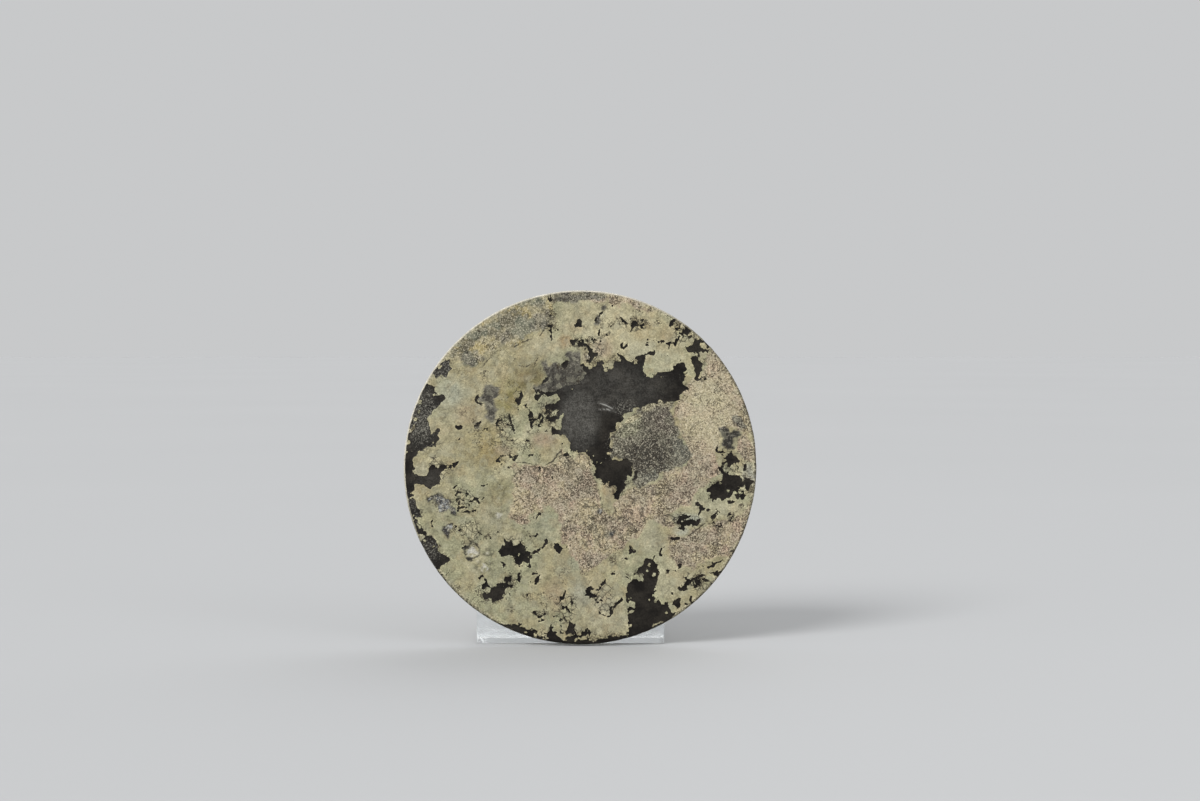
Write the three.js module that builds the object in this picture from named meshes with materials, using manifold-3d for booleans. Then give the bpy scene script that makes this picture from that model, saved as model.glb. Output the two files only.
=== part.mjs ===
// A round cast bronze mirror that leans back on a clear stand made of two plates.
// Millimetres, +Z up. The mirror's polished face looks towards -Y, its knob towards +Y.
import * as THREE from 'three';
import { mergeVertices } from 'three/addons/utils/BufferGeometryUtils.js';
import Module from 'manifold-3d';

// Mirror: a plate turned about its own Y axis, with the face at 0 and the rim's back at rimThickness
const mirrorRadius = 85;
const leanDegrees = 6.5;
const faceBulge = 1; // how far the face stands proud at its middle
const rimThickness = 5;
const rimWidth = 12.5;
const rimSlope = 2;
const fieldThickness = 2.8; // the plate inside the rim, which follows the face's bulge
const faceEdgeRound = 0.9;
const backEdgeRound = 0.6;
const turnSegments = 96;
const faceSteps = 5;
const roundSteps = 3;

// Plain raised rings on the back, from the rim inwards
const backRings = [
  { radius: 63, width: 2.6, height: 0.7 },
  { radius: 43, width: 5, height: 0.9 },
];
const ringSlope = 0.6;

// Knob in the middle of the back, pierced from side to side for a cord
const seatRadius = 17;
const seatHeight = 0.8;
const knobRadius = 12.5;
const knobHeight = 11;
const knobSteps = 7;
const cordHoleRadius = 3.5;
const cordHoleHeight = 4.9; // its centre above the knob's seat
const cordHoleSides = 24;

// The edge is worn back a little on the right, just below the middle
const wornDepth = 0.9;
const wornDirection = THREE.MathUtils.degToRad(-15);
const wornFalloff = 4;
const rimOnly = 8; // a high power of the radius keeps the wear at the edge

// Clear stand: an upright plate that holds the mirror's back, glued on a foot plate that runs backwards
const plateWidth = 90;
const plateThickness = 2.5;
const standHeight = 60;
const standShift = -5; // the mirror stands a little to the right of the stand's middle
const footDepth = 70;
const glueFilm = 0.2;
const frontCornerRadius = 0.8;
const farCornerRadius = 4;
const cornerSteps = 4;
const polishedBevel = 0.3;
const leanClearance = 0.3; // left between the casting's back and the upright

const bronze = new THREE.MeshStandardMaterial({ color: 0xaaa482, roughness: 0.6, metalness: 0.3 });
const clearPlastic = new THREE.MeshStandardMaterial({
  color: 0xdfe8ea,
  roughness: 0.05,
  metalness: 0,
  transparent: true,
  opacity: 0.35,
});

const wasm = await Module();
wasm.setup();

// A closed geometry, with its shared corners merged, as a solid that can be cut
function toSolid(geometry) {
  const bare = geometry.clone();
  bare.deleteAttribute('normal');
  bare.deleteAttribute('uv');
  const merged = mergeVertices(bare, 1e-4);
  return new wasm.Manifold(new wasm.Mesh({
    numProp: 3,
    vertProperties: new Float32Array(merged.attributes.position.array),
    triVerts: new Uint32Array(merged.index.array),
  }));
}

function toGeometry(solid) {
  const mesh = solid.getMesh();
  const geometry = new THREE.BufferGeometry();
  geometry.setAttribute('position', new THREE.BufferAttribute(new Float32Array(mesh.vertProperties), 3));
  geometry.setIndex(new THREE.BufferAttribute(new Uint32Array(mesh.triVerts), 1));
  geometry.computeVertexNormals();
  return geometry;
}

// Points on an elliptical arc about (x, y), angles in degrees from +X, both ends included
function arc(x, y, radiusX, radiusY, from, to, steps) {
  return Array.from({ length: steps + 1 }, (_, i) => {
    const angle = THREE.MathUtils.degToRad(from + ((to - from) * i) / steps);
    return new THREE.Vector2(x + radiusX * Math.cos(angle), y + radiusY * Math.sin(angle));
  });
}

const faceAt = (radius) => -faceBulge * (1 - (radius / mirrorRadius) ** 2);
const fieldAt = (radius) => faceAt(radius) + fieldThickness;

// Half of the mirror's section, from the middle of the face round the rim to the top of the knob
function mirrorProfile() {
  const point = (radius, height) => new THREE.Vector2(radius, height);
  const faceRadius = mirrorRadius - faceEdgeRound;
  const face = Array.from({ length: faceSteps }, (_, i) => (faceRadius * i) / faceSteps)
    .map((radius) => point(radius, faceAt(radius)));
  const faceEdge = arc(faceRadius, faceEdgeRound, faceEdgeRound, faceEdgeRound, -90, 0, roundSteps);
  const backCorner = [mirrorRadius - backEdgeRound, rimThickness - backEdgeRound];
  const backEdge = arc(...backCorner, backEdgeRound, backEdgeRound, 0, 90, roundSteps);
  const rimInside = mirrorRadius - rimWidth;
  const step = [
    point(rimInside, rimThickness),
    point(rimInside - rimSlope, fieldAt(rimInside - rimSlope)),
  ];
  const rings = backRings.flatMap(({ radius, width, height }) => [
    point(radius + width / 2, fieldAt(radius)),
    point(radius + width / 2 - ringSlope, fieldAt(radius) + height),
    point(radius - width / 2 + ringSlope, fieldAt(radius) + height),
    point(radius - width / 2, fieldAt(radius)),
  ]);
  const seatTop = fieldAt(seatRadius) + seatHeight;
  const seat = [
    point(seatRadius, fieldAt(seatRadius)),
    point(seatRadius - ringSlope, seatTop),
  ];
  const knob = arc(0, seatTop, knobRadius, knobHeight, 0, 90, knobSteps);
  knob[knobSteps].x = 0;
  return [...face, ...faceEdge, ...backEdge, ...step, ...rings, ...seat, ...knob];
}

// Draws the edge in where the rim is worn
function wearEdge(geometry) {
  const position = geometry.attributes.position;
  for (let i = 0; i < position.count; i += 1) {
    const x = position.getX(i);
    const z = position.getZ(i);
    const facing = Math.max(0, Math.cos(Math.atan2(z, x) - wornDirection));
    const share = (Math.hypot(x, z) / mirrorRadius) ** rimOnly;
    const scale = 1 - (wornDepth / mirrorRadius) * facing ** wornFalloff * share;
    position.setX(i, x * scale);
    position.setZ(i, z * scale);
  }
}

function makeMirror() {
  const turned = new THREE.LatheGeometry(mirrorProfile(), turnSegments);
  wearEdge(turned);
  const cordHole = new THREE.CylinderGeometry(cordHoleRadius, cordHoleRadius, 3 * knobRadius, cordHoleSides);
  cordHole.rotateZ(Math.PI / 2);
  cordHole.translate(0, fieldAt(seatRadius) + seatHeight + cordHoleHeight, 0);
  const mesh = new THREE.Mesh(toGeometry(toSolid(turned).subtract(toSolid(cordHole))), bronze);
  mesh.name = 'mirror_disc';
  return mesh;
}

// A plate's outline: two near corners at Y = 0 and two far ones at Y = depth
function plateOutline(width, depth) {
  const near = frontCornerRadius;
  const far = farCornerRadius;
  return new THREE.Shape([
    ...arc(width / 2 - near, near, near, near, -90, 0, cornerSteps),
    ...arc(width / 2 - far, depth - far, far, far, 0, 90, cornerSteps),
    ...arc(far - width / 2, depth - far, far, far, 90, 180, cornerSteps),
    ...arc(near - width / 2, near, near, near, 180, 270, cornerSteps),
  ]);
}

function makePlate(name, width, depth) {
  const geometry = new THREE.ExtrudeGeometry(plateOutline(width, depth), {
    depth: plateThickness - 2 * polishedBevel,
    bevelThickness: polishedBevel,
    bevelSize: polishedBevel,
    bevelOffset: -polishedBevel,
    bevelSegments: 1,
  });
  geometry.translate(0, 0, polishedBevel);
  const mesh = new THREE.Mesh(geometry, clearPlastic);
  mesh.name = name;
  return mesh;
}

// How far back the leaning mirror reaches over the upright's width and height
function backReach(mirror) {
  const feeler = new THREE.Raycaster();
  const forwards = new THREE.Vector3(0, -1, 0);
  const feelerStep = 1;
  let reach = -Infinity;
  for (let x = standShift - plateWidth / 2; x <= standShift + plateWidth / 2; x += feelerStep) {
    for (let z = feelerStep; z <= standHeight; z += feelerStep) {
      feeler.set(new THREE.Vector3(x, mirrorRadius, z), forwards);
      const touches = feeler.intersectObject(mirror);
      if (touches.length > 0) {
        reach = Math.max(reach, touches[0].point.y);
      }
    }
  }
  return reach;
}

const part = new THREE.Group();

const leaning = new THREE.Group();
leaning.rotation.x = -THREE.MathUtils.degToRad(leanDegrees);
const mirror = makeMirror();
leaning.add(mirror);
part.add(leaning);
leaning.position.z = -new THREE.Box3().setFromObject(leaning, true).min.z;
part.updateMatrixWorld(true);

const stand = new THREE.Group();
const foot = makePlate('stand_foot', plateWidth, footDepth);
const upright = makePlate('stand_upright', plateWidth, standHeight - plateThickness - glueFilm);
upright.rotation.x = Math.PI / 2;
upright.position.set(0, plateThickness, plateThickness + glueFilm);
stand.add(foot, upright);
stand.position.set(standShift, backReach(mirror) + leanClearance, 0);
part.add(stand);

// The origin is the middle of the underside
const extent = new THREE.Box3().setFromObject(part, true);
const middle = extent.getCenter(new THREE.Vector3());
leaning.position.x -= middle.x;
leaning.position.y -= middle.y;
stand.position.x -= middle.x;
stand.position.y -= middle.y;

export default part;
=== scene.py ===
import math

import bmesh
import bpy
import numpy as np
from mathutils import Matrix, Vector


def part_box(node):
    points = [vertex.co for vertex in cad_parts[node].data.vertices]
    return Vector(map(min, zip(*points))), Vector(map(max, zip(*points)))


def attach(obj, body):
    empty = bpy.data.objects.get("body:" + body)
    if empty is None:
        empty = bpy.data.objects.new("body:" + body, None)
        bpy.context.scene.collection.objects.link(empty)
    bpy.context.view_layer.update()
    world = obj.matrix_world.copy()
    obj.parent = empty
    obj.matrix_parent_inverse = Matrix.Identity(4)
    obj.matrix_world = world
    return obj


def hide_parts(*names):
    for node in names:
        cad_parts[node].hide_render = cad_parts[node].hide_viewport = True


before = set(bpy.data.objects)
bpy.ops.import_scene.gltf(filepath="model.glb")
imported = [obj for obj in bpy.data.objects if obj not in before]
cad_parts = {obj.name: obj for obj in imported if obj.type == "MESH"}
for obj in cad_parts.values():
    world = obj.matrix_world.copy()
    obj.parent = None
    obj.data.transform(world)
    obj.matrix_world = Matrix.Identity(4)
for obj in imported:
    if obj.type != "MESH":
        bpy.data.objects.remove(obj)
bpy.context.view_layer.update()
metre = 0.001  # one millimetre

# small tools for patterns worked out at points: u to the right, v up, in radii of the mirror


def blendStep(values, low, high):
    t = np.clip((values - low) / (high - low), 0, 1)
    return t * t * (3 - 2 * t)


def cloud(x, y, cell, seed):
    # soft random values from 0 to 1 that change over about one cell
    table = np.random.default_rng(seed).random((64, 64))
    gridX, gridY = x / cell + 500.5, y / cell + 500.5
    column, row = np.floor(gridX).astype(int), np.floor(gridY).astype(int)
    across, up = gridX - column, gridY - row
    across, up = across * across * (3 - 2 * across), up * up * (3 - 2 * up)
    left, right, low, high = column % 64, (column + 1) % 64, row % 64, (row + 1) % 64
    bottom = table[left, low] * (1 - across) + table[right, low] * across
    top = table[left, high] * (1 - across) + table[right, high] * across
    return bottom * (1 - up) + top * up


def billow(x, y, cell, seed, octaves=4):
    # clouds on clouds, each octave half the size of the last
    total, weight = 0, 0
    for octave in range(octaves):
        share = 0.55**octave
        total = total + share * cloud(x, y, cell / 2**octave, seed + octave)
        weight += share
    return total / weight


def wander(values, amount, x, y, cell, seed, octaves=4):
    # pushes values to and fro by up to half the amount
    return values + amount * (billow(x, y, cell, seed, octaves) - 0.5)


def blotches(x, y, cell, seed, low, high, octaves=4):
    # soft-edged patches, 1 inside and 0 between them
    return blendStep(billow(x, y, cell, seed, octaves), low, high)


def cells(x, y, cell, seed):
    # points lie scattered, one to a cell: distances to the nearest and the next, and the nearest's number
    table = np.random.default_rng(seed).random((64, 64, 3))
    gridX, gridY = x / cell + 500.5, y / cell + 500.5
    column, row = np.floor(gridX).astype(int), np.floor(gridY).astype(int)
    first, second, number = np.full(x.shape, 9.0), np.full(x.shape, 9.0), np.zeros(x.shape)
    for stepX in (-1, 0, 1):
        for stepY in (-1, 0, 1):
            seedling = table[(column + stepX) % 64, (row + stepY) % 64]
            away = np.hypot(column + stepX + seedling[..., 0] - gridX, row + stepY + seedling[..., 1] - gridY)
            closer = away < first
            second = np.where(closer, first, np.minimum(second, away))
            number = np.where(closer, seedling[..., 2], number)
            first = np.where(closer, away, first)
    return first, second, number


def alongStroke(u, v, path):
    # how deep each point lies inside a stroke that tapers through (u, v, half width) points
    depth = np.full(u.shape, -9.0)
    stops = path if len(path) > 1 else path * 2
    for (u0, v0, w0), (u1, v1, w1) in zip(stops, stops[1:]):
        du, dv = u1 - u0, v1 - v0
        share = np.clip(((u - u0) * du + (v - v0) * dv) / max(du * du + dv * dv, 1e-9), 0, 1)
        away = np.hypot(u - u0 - share * du, v - v0 - share * dv)
        depth = np.maximum(depth, w0 + (w1 - w0) * share - away)
    return depth


def insideOutline(u, v, outline):
    # how deep each point lies inside a closed outline, negative outside it
    away, inside = np.full(u.shape, 9.0), np.zeros(u.shape, bool)
    for (u0, v0), (u1, v1) in zip(outline, outline[1:] + outline[:1]):
        du, dv = u1 - u0, v1 - v0
        share = np.clip(((u - u0) * du + (v - v0) * dv) / (du * du + dv * dv), 0, 1)
        away = np.minimum(away, np.hypot(u - u0 - share * du, v - v0 - share * dv))
        if v0 != v1:
            inside ^= ((v0 > v) != (v1 > v)) & (u < u0 + (v - v0) * du / dv)
    return np.where(inside, away, -away)


def deepest(measure, u, v, shapes):
    # the deepest that each point lies in any of the shapes; a shape is only measured close by
    depth, margin = np.full(u.shape, -9.0), 0.06
    for shape in shapes:
        us, vs = [point[0] for point in shape], [point[1] for point in shape]
        near = np.flatnonzero((u > min(us) - margin) & (u < max(us) + margin)
                              & (v > min(vs) - margin) & (v < max(vs) + margin))
        depth[near] = np.maximum(depth[near], measure(u[near], v[near], shape))
    return depth


def softSpot(u, v, centre, reach):
    # 1 in the middle of an oval spot, fading to 0 at its edge
    away = np.hypot((u - centre[0]) / reach[0], (v - centre[1]) / reach[1])
    return 1 - blendStep(away, 0.25, 1)


def strongest(u, v, spots):
    # the strongest of many soft spots, each a centre, a reach and, where it isn't 1, a strength
    share = np.zeros(u.shape)
    for centre, reach, *strength in spots:
        share = np.maximum(share, softSpot(u, v, centre, reach) * (strength[0] if strength else 1))
    return share


def tintTowards(colours, colour, share):
    return colours + (np.array(colour) - colours) * np.clip(share, 0, 1)[:, None]


def paint(tint, *coats):
    # lays coats of the palette's colours over a tint, one after another: (name, share)
    for name, share in coats:
        tint = tintTowards(tint, palette[name], share)
    return tint


# the mirror's casting

mirror = {
    "radius": 85.0,
    "lean": 6.5,  # degrees, backwards
    "bulge": 1.0,
    "rimThickness": 5.0,
    "rimWidth": 12.5,
    "rimSlope": 2.0,
    "field": 2.8,
    "faceRound": 0.9,
    "backRound": 0.6,
    "rings": [(63.0, 2.6, 0.7), (43.0, 5.0, 0.9)],  # radius, width, height
    "ringSlope": 0.6,
    "seatRadius": 17.0,
    "seatHeight": 0.8,
    "knobRadius": 12.5,
    "knobHeight": 11.0,
    "holeRadius": 3.5,
    "holeHeight": 4.9,
    "wornDepth": 0.9,
    "wornDirection": -15,
    "faceGrid": 240,  # squares across the face
    "faceEdgeTurns": (22.5, 45, 67.5, 90),
    "backEdgeTurns": (30, 60, 90),
    "sideSteps": 5,
    "backTurns": (480, 240, 96),  # steps round the rim, the rings and the knob
    "backJoins": ((52.0, 50.5), (20.5, 19.0)),  # radii where one strip of the back ends and the next begins
    "backStart": 1.4,  # where the back's first strip begins, in from the edge
    "backSpan": 1.6,
    "seatSpan": 1.2,
    "domeSteps": 22,
}


def bulgeAt(radius):
    return mirror["bulge"] * (1 - (radius / mirror["radius"]) ** 2)


def fieldAt(radius):
    return mirror["field"] - bulgeAt(radius)


def onField(radius):
    return radius, fieldAt(radius)


def squareToDisc(x, y):
    # keeps the grid's squares nearly even in size over the whole disc
    if abs(x) < 1e-9 and abs(y) < 1e-9:
        return 0.0, 0.0
    if abs(x) > abs(y):
        return x * math.cos(math.pi / 4 * y / x), x * math.sin(math.pi / 4 * y / x)
    return y * math.sin(math.pi / 4 * x / y), y * math.cos(math.pi / 4 * x / y)


def openEdges(bm):
    return [edge for edge in bm.edges if len(edge.link_faces) == 1]


def growRing(bm, radius, height):
    grown = bmesh.ops.extrude_edge_only(bm, edges=openEdges(bm))["geom"]
    for vert in grown:
        if isinstance(vert, bmesh.types.BMVert):
            scale = radius / math.hypot(vert.co.x, vert.co.z)
            vert.co = (vert.co.x * scale, height, vert.co.z * scale)


def finer(points, step):
    # the same outline with no span longer than the step
    out = [points[0]]
    for start, end in zip(points, points[1:]):
        count = max(1, math.ceil(math.dist(start, end) / step))
        out += [tuple(a + (b - a) * i / count for a, b in zip(start, end)) for i in range(1, count + 1)]
    return out


def meshFrom(bm, name):
    mesh = bpy.data.meshes.new(name)
    bm.to_mesh(mesh)
    bm.free()
    return mesh


def turnStrip(bm, profile, steps):
    # spun on its own, which is far quicker, then added to the casting
    strip = bmesh.new()
    verts = [strip.verts.new((radius, height, 0)) for radius, height in profile]
    edges = [strip.edges.new(pair) for pair in zip(verts, verts[1:])]
    bmesh.ops.spin(strip, geom=verts + edges, cent=(0, 0, 0), axis=(0, 1, 0), angle=2 * math.pi, steps=steps,
                   use_merge=True)
    mesh = meshFrom(strip, "strip")
    bm.from_mesh(mesh)
    bpy.data.meshes.remove(mesh)


def ringProfile(radius, width, height):
    base, half, slope = fieldAt(radius), width / 2, mirror["ringSlope"]
    return [(radius + half, base), (radius + half - slope, base + height),
            (radius - half + slope, base + height), (radius - half, base)]


def bridgeGaps(bm):
    # joins the open rings in pairs, from the rim inwards
    rings = {}
    for edge in openEdges(bm):
        rings.setdefault(round(math.hypot(edge.verts[0].co.x, edge.verts[0].co.z), 1), []).append(edge)
    order = sorted(rings, reverse=True)
    for outer, inner in zip(order[::2], order[1::2]):
        bmesh.ops.bridge_loops(bm, edges=rings[outer] + rings[inner])


def castMirror():
    m = mirror
    bm = bmesh.new()
    bmesh.ops.create_grid(bm, x_segments=m["faceGrid"], y_segments=m["faceGrid"], size=1)
    faceRadius = m["radius"] - m["faceRound"]
    for vert in bm.verts:
        x, z = squareToDisc(vert.co.x, vert.co.y)
        vert.co = (x * faceRadius, -bulgeAt(math.hypot(x, z) * faceRadius), z * faceRadius)
    for angle in m["faceEdgeTurns"]:
        turn = math.radians(angle)
        growRing(bm, faceRadius + m["faceRound"] * math.sin(turn), m["faceRound"] * (1 - math.cos(turn)))
    sideTop = m["rimThickness"] - m["backRound"]
    for height in np.linspace(m["faceRound"], sideTop, m["sideSteps"] + 1)[1:]:
        growRing(bm, m["radius"], float(height))
    for angle in m["backEdgeTurns"]:
        turn = math.radians(angle)
        ringRadius = m["radius"] - m["backRound"] * (1 - math.cos(turn))
        growRing(bm, ringRadius, sideTop + m["backRound"] * math.sin(turn))
    rimInside = m["radius"] - m["rimWidth"]
    outerRing, innerRing = [ringProfile(*ring) for ring in m["rings"]]
    (rimEnd, ringStart), (ringEnd, seatStart) = m["backJoins"]
    rimStrip = [(m["radius"] - m["backStart"], m["rimThickness"]), (rimInside, m["rimThickness"]),
                onField(rimInside - m["rimSlope"]), *outerRing, onField(rimEnd)]
    ringStrip = [onField(ringStart), *innerRing, onField(ringEnd)]
    seatTop = fieldAt(m["seatRadius"]) + m["seatHeight"]
    dome = [(m["knobRadius"] * math.cos(turn), seatTop + m["knobHeight"] * math.sin(turn))
            for turn in np.linspace(0, math.pi / 2, m["domeSteps"])]
    dome[-1] = (0.0, seatTop + m["knobHeight"])
    seat = [onField(seatStart), onField(m["seatRadius"]), (m["seatRadius"] - m["ringSlope"], seatTop)]
    turnStrip(bm, finer(rimStrip, m["backSpan"]), m["backTurns"][0])
    turnStrip(bm, finer(ringStrip, m["backSpan"]), m["backTurns"][1])
    turnStrip(bm, finer(seat, m["seatSpan"]) + dome, m["backTurns"][2])
    bridgeGaps(bm)
    bmesh.ops.remove_doubles(bm, verts=bm.verts, dist=1e-4)
    bmesh.ops.recalc_face_normals(bm, faces=bm.faces)
    return meshFrom(bm, "mirror_disc_cast")


def pierceKnob(mesh):
    # bores the cord hole from side to side
    bm = bmesh.new()
    height = fieldAt(mirror["seatRadius"]) + mirror["seatHeight"] + mirror["holeHeight"]
    place = Matrix.Translation((0, height, 0)) @ Matrix.Rotation(math.pi / 2, 4, "Y")
    bmesh.ops.create_cone(bm, cap_ends=True, segments=48, radius1=mirror["holeRadius"],
                          radius2=mirror["holeRadius"], depth=3 * mirror["knobRadius"], matrix=place)
    drill = bpy.data.objects.new("drill", meshFrom(bm, "drill"))
    blank = bpy.data.objects.new("blank", mesh)
    for piece in (drill, blank):
        bpy.context.scene.collection.objects.link(piece)
    bore = blank.modifiers.new("cord hole", "BOOLEAN")
    bore.object, bore.operation, bore.solver = drill, "DIFFERENCE", "MANIFOLD"
    bpy.context.view_layer.update()
    pierced = bpy.data.meshes.new_from_object(blank.evaluated_get(bpy.context.evaluated_depsgraph_get()))
    for piece in (drill, blank):
        bpy.data.objects.remove(piece)
    pierced.name = "mirror_disc_patinated"
    return pierced


# where the face's patina lies, in radii from its middle

# large patches of bare dark metal, each an outline
bareOutlines = [
    # the broad one in the middle, with its tail
    [(-0.27, 0.44), (-0.22, 0.47), (-0.18, 0.51), (-0.17, 0.56), (-0.08, 0.6), (0, 0.57), (0.05, 0.56),
     (0.06, 0.6), (0.1, 0.6), (0.13, 0.58), (0.14, 0.55), (0.17, 0.55), (0.18, 0.6), (0.21, 0.6),
     (0.22, 0.63), (0.26, 0.6), (0.3, 0.59), (0.33, 0.63), (0.38, 0.65), (0.4, 0.675), (0.415, 0.645),
     (0.38, 0.635), (0.355, 0.6), (0.35, 0.565), (0.365, 0.53), (0.39, 0.51), (0.43, 0.505), (0.46, 0.52),
     (0.49, 0.53), (0.51, 0.555), (0.55, 0.575), (0.59, 0.57), (0.595, 0.53), (0.58, 0.47), (0.59, 0.44),
     (0.56, 0.4), (0.53, 0.35), (0.48, 0.38), (0.42, 0.35), (0.35, 0.33), (0.25, 0.29), (0.2, 0.22),
     (0.165, 0.17), (0.175, 0.12), (0.165, 0.05), (0.24, 0.03), (0.295, 0.01), (0.28, -0.05), (0.24, -0.13),
     (0.215, -0.17), (0.19, -0.2), (0.195, -0.13), (0.19, -0.1), (0.135, -0.1), (0.12, -0.075),
     (0.095, -0.07), (0.08, 0), (0.055, 0.06), (0.04, 0.1), (0, 0.095), (-0.05, 0.09), (-0.09, 0.06),
     (-0.065, 0.11), (-0.06, 0.15), (-0.09, 0.18), (-0.14, 0.165), (-0.18, 0.19), (-0.16, 0.21),
     (-0.115, 0.215), (-0.09, 0.245), (-0.11, 0.28), (-0.15, 0.3), (-0.2, 0.32), (-0.21, 0.345),
     (-0.15, 0.345), (-0.13, 0.38), (-0.14, 0.405), (-0.18, 0.4), (-0.24, 0.38), (-0.22, 0.41),
     (-0.26, 0.43)],
    # lower right, down to the edge
    [(0.385, -0.505), (0.41, -0.52), (0.43, -0.58), (0.42, -0.68), (0.41, -0.74), (0.43, -0.765),
     (0.47, -0.76), (0.49, -0.8), (0.53, -0.81), (0.52, -0.83), (0.44, -0.88), (0.36, -0.93), (0.27, -0.97),
     (0.27, -0.8), (0.3, -0.79), (0.28, -0.755), (0.245, -0.72), (0.26, -0.67), (0.29, -0.645),
     (0.34, -0.64), (0.36, -0.61), (0.33, -0.585), (0.34, -0.54)],
    # the wedge and the strip at the left edge
    [(-0.71, 0.015), (-0.83, 0.01), (-0.855, -0.03), (-0.88, -0.06), (-0.91, -0.07), (-0.945, -0.06),
     (-0.98, -0.03), (-0.985, -0.11), (-0.94, -0.1), (-0.85, -0.12), (-0.785, -0.1), (-0.79, -0.04),
     (-0.75, -0.01)],
    [(-0.8, 0.2), (-0.8, 0.15), (-0.83, 0.13), (-0.875, 0.1), (-0.93, 0.07), (-0.975, 0.06), (-0.965, 0.16),
     (-0.945, 0.24), (-0.92, 0.33), (-0.895, 0.41), (-0.86, 0.47), (-0.84, 0.46), (-0.82, 0.4),
     (-0.765, 0.385), (-0.79, 0.35), (-0.82, 0.31), (-0.855, 0.29), (-0.86, 0.22), (-0.84, 0.2)],
    [(-0.8, 0.5), (-0.76, 0.51), (-0.73, 0.56), (-0.765, 0.585), (-0.81, 0.55), (-0.84, 0.51)],
    [(-0.89, -0.42), (-0.86, -0.4), (-0.82, -0.41), (-0.8, -0.47), (-0.76, -0.51), (-0.755, -0.54),
     (-0.79, -0.57), (-0.82, -0.55), (-0.86, -0.48)],
    # lower left, the two ragged blobs and the diamond
    [(-0.44, -0.415), (-0.39, -0.415), (-0.34, -0.45), (-0.295, -0.46), (-0.28, -0.49), (-0.29, -0.55),
     (-0.35, -0.555), (-0.385, -0.535), (-0.36, -0.5), (-0.41, -0.49), (-0.46, -0.51), (-0.455, -0.45)],
    [(-0.555, -0.655), (-0.505, -0.68), (-0.43, -0.64), (-0.385, -0.61), (-0.38, -0.64), (-0.42, -0.685),
     (-0.43, -0.72), (-0.46, -0.75), (-0.535, -0.75), (-0.575, -0.71), (-0.545, -0.69)],
    [(-0.165, -0.465), (-0.14, -0.44), (-0.1, -0.44), (-0.09, -0.46), (-0.115, -0.505), (-0.14, -0.485)],
    # right edge
    [(0.8, -0.03), (0.87, -0.04), (0.905, -0.1), (0.885, -0.145), (0.84, -0.17), (0.785, -0.19),
     (0.74, -0.195), (0.7, -0.135), (0.75, -0.11), (0.785, -0.075)],
    [(0.79, 0.085), (0.84, 0.085), (0.885, 0.03), (0.88, 0.005), (0.83, 0), (0.81, 0.03)],
    # upper right sliver
    [(0.61, 0.66), (0.635, 0.705), (0.67, 0.69), (0.675, 0.62), (0.685, 0.56), (0.695, 0.5), (0.655, 0.495),
     (0.63, 0.57), (0.63, 0.63)],
    # bottom edge
    [(-0.225, -0.925), (-0.14, -0.905), (-0.125, -0.945), (-0.09, -0.97), (-0.17, -0.975)],
    [(0.515, -0.705), (0.55, -0.74), (0.575, -0.78), (0.53, -0.8), (0.525, -0.75)],
]

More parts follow.
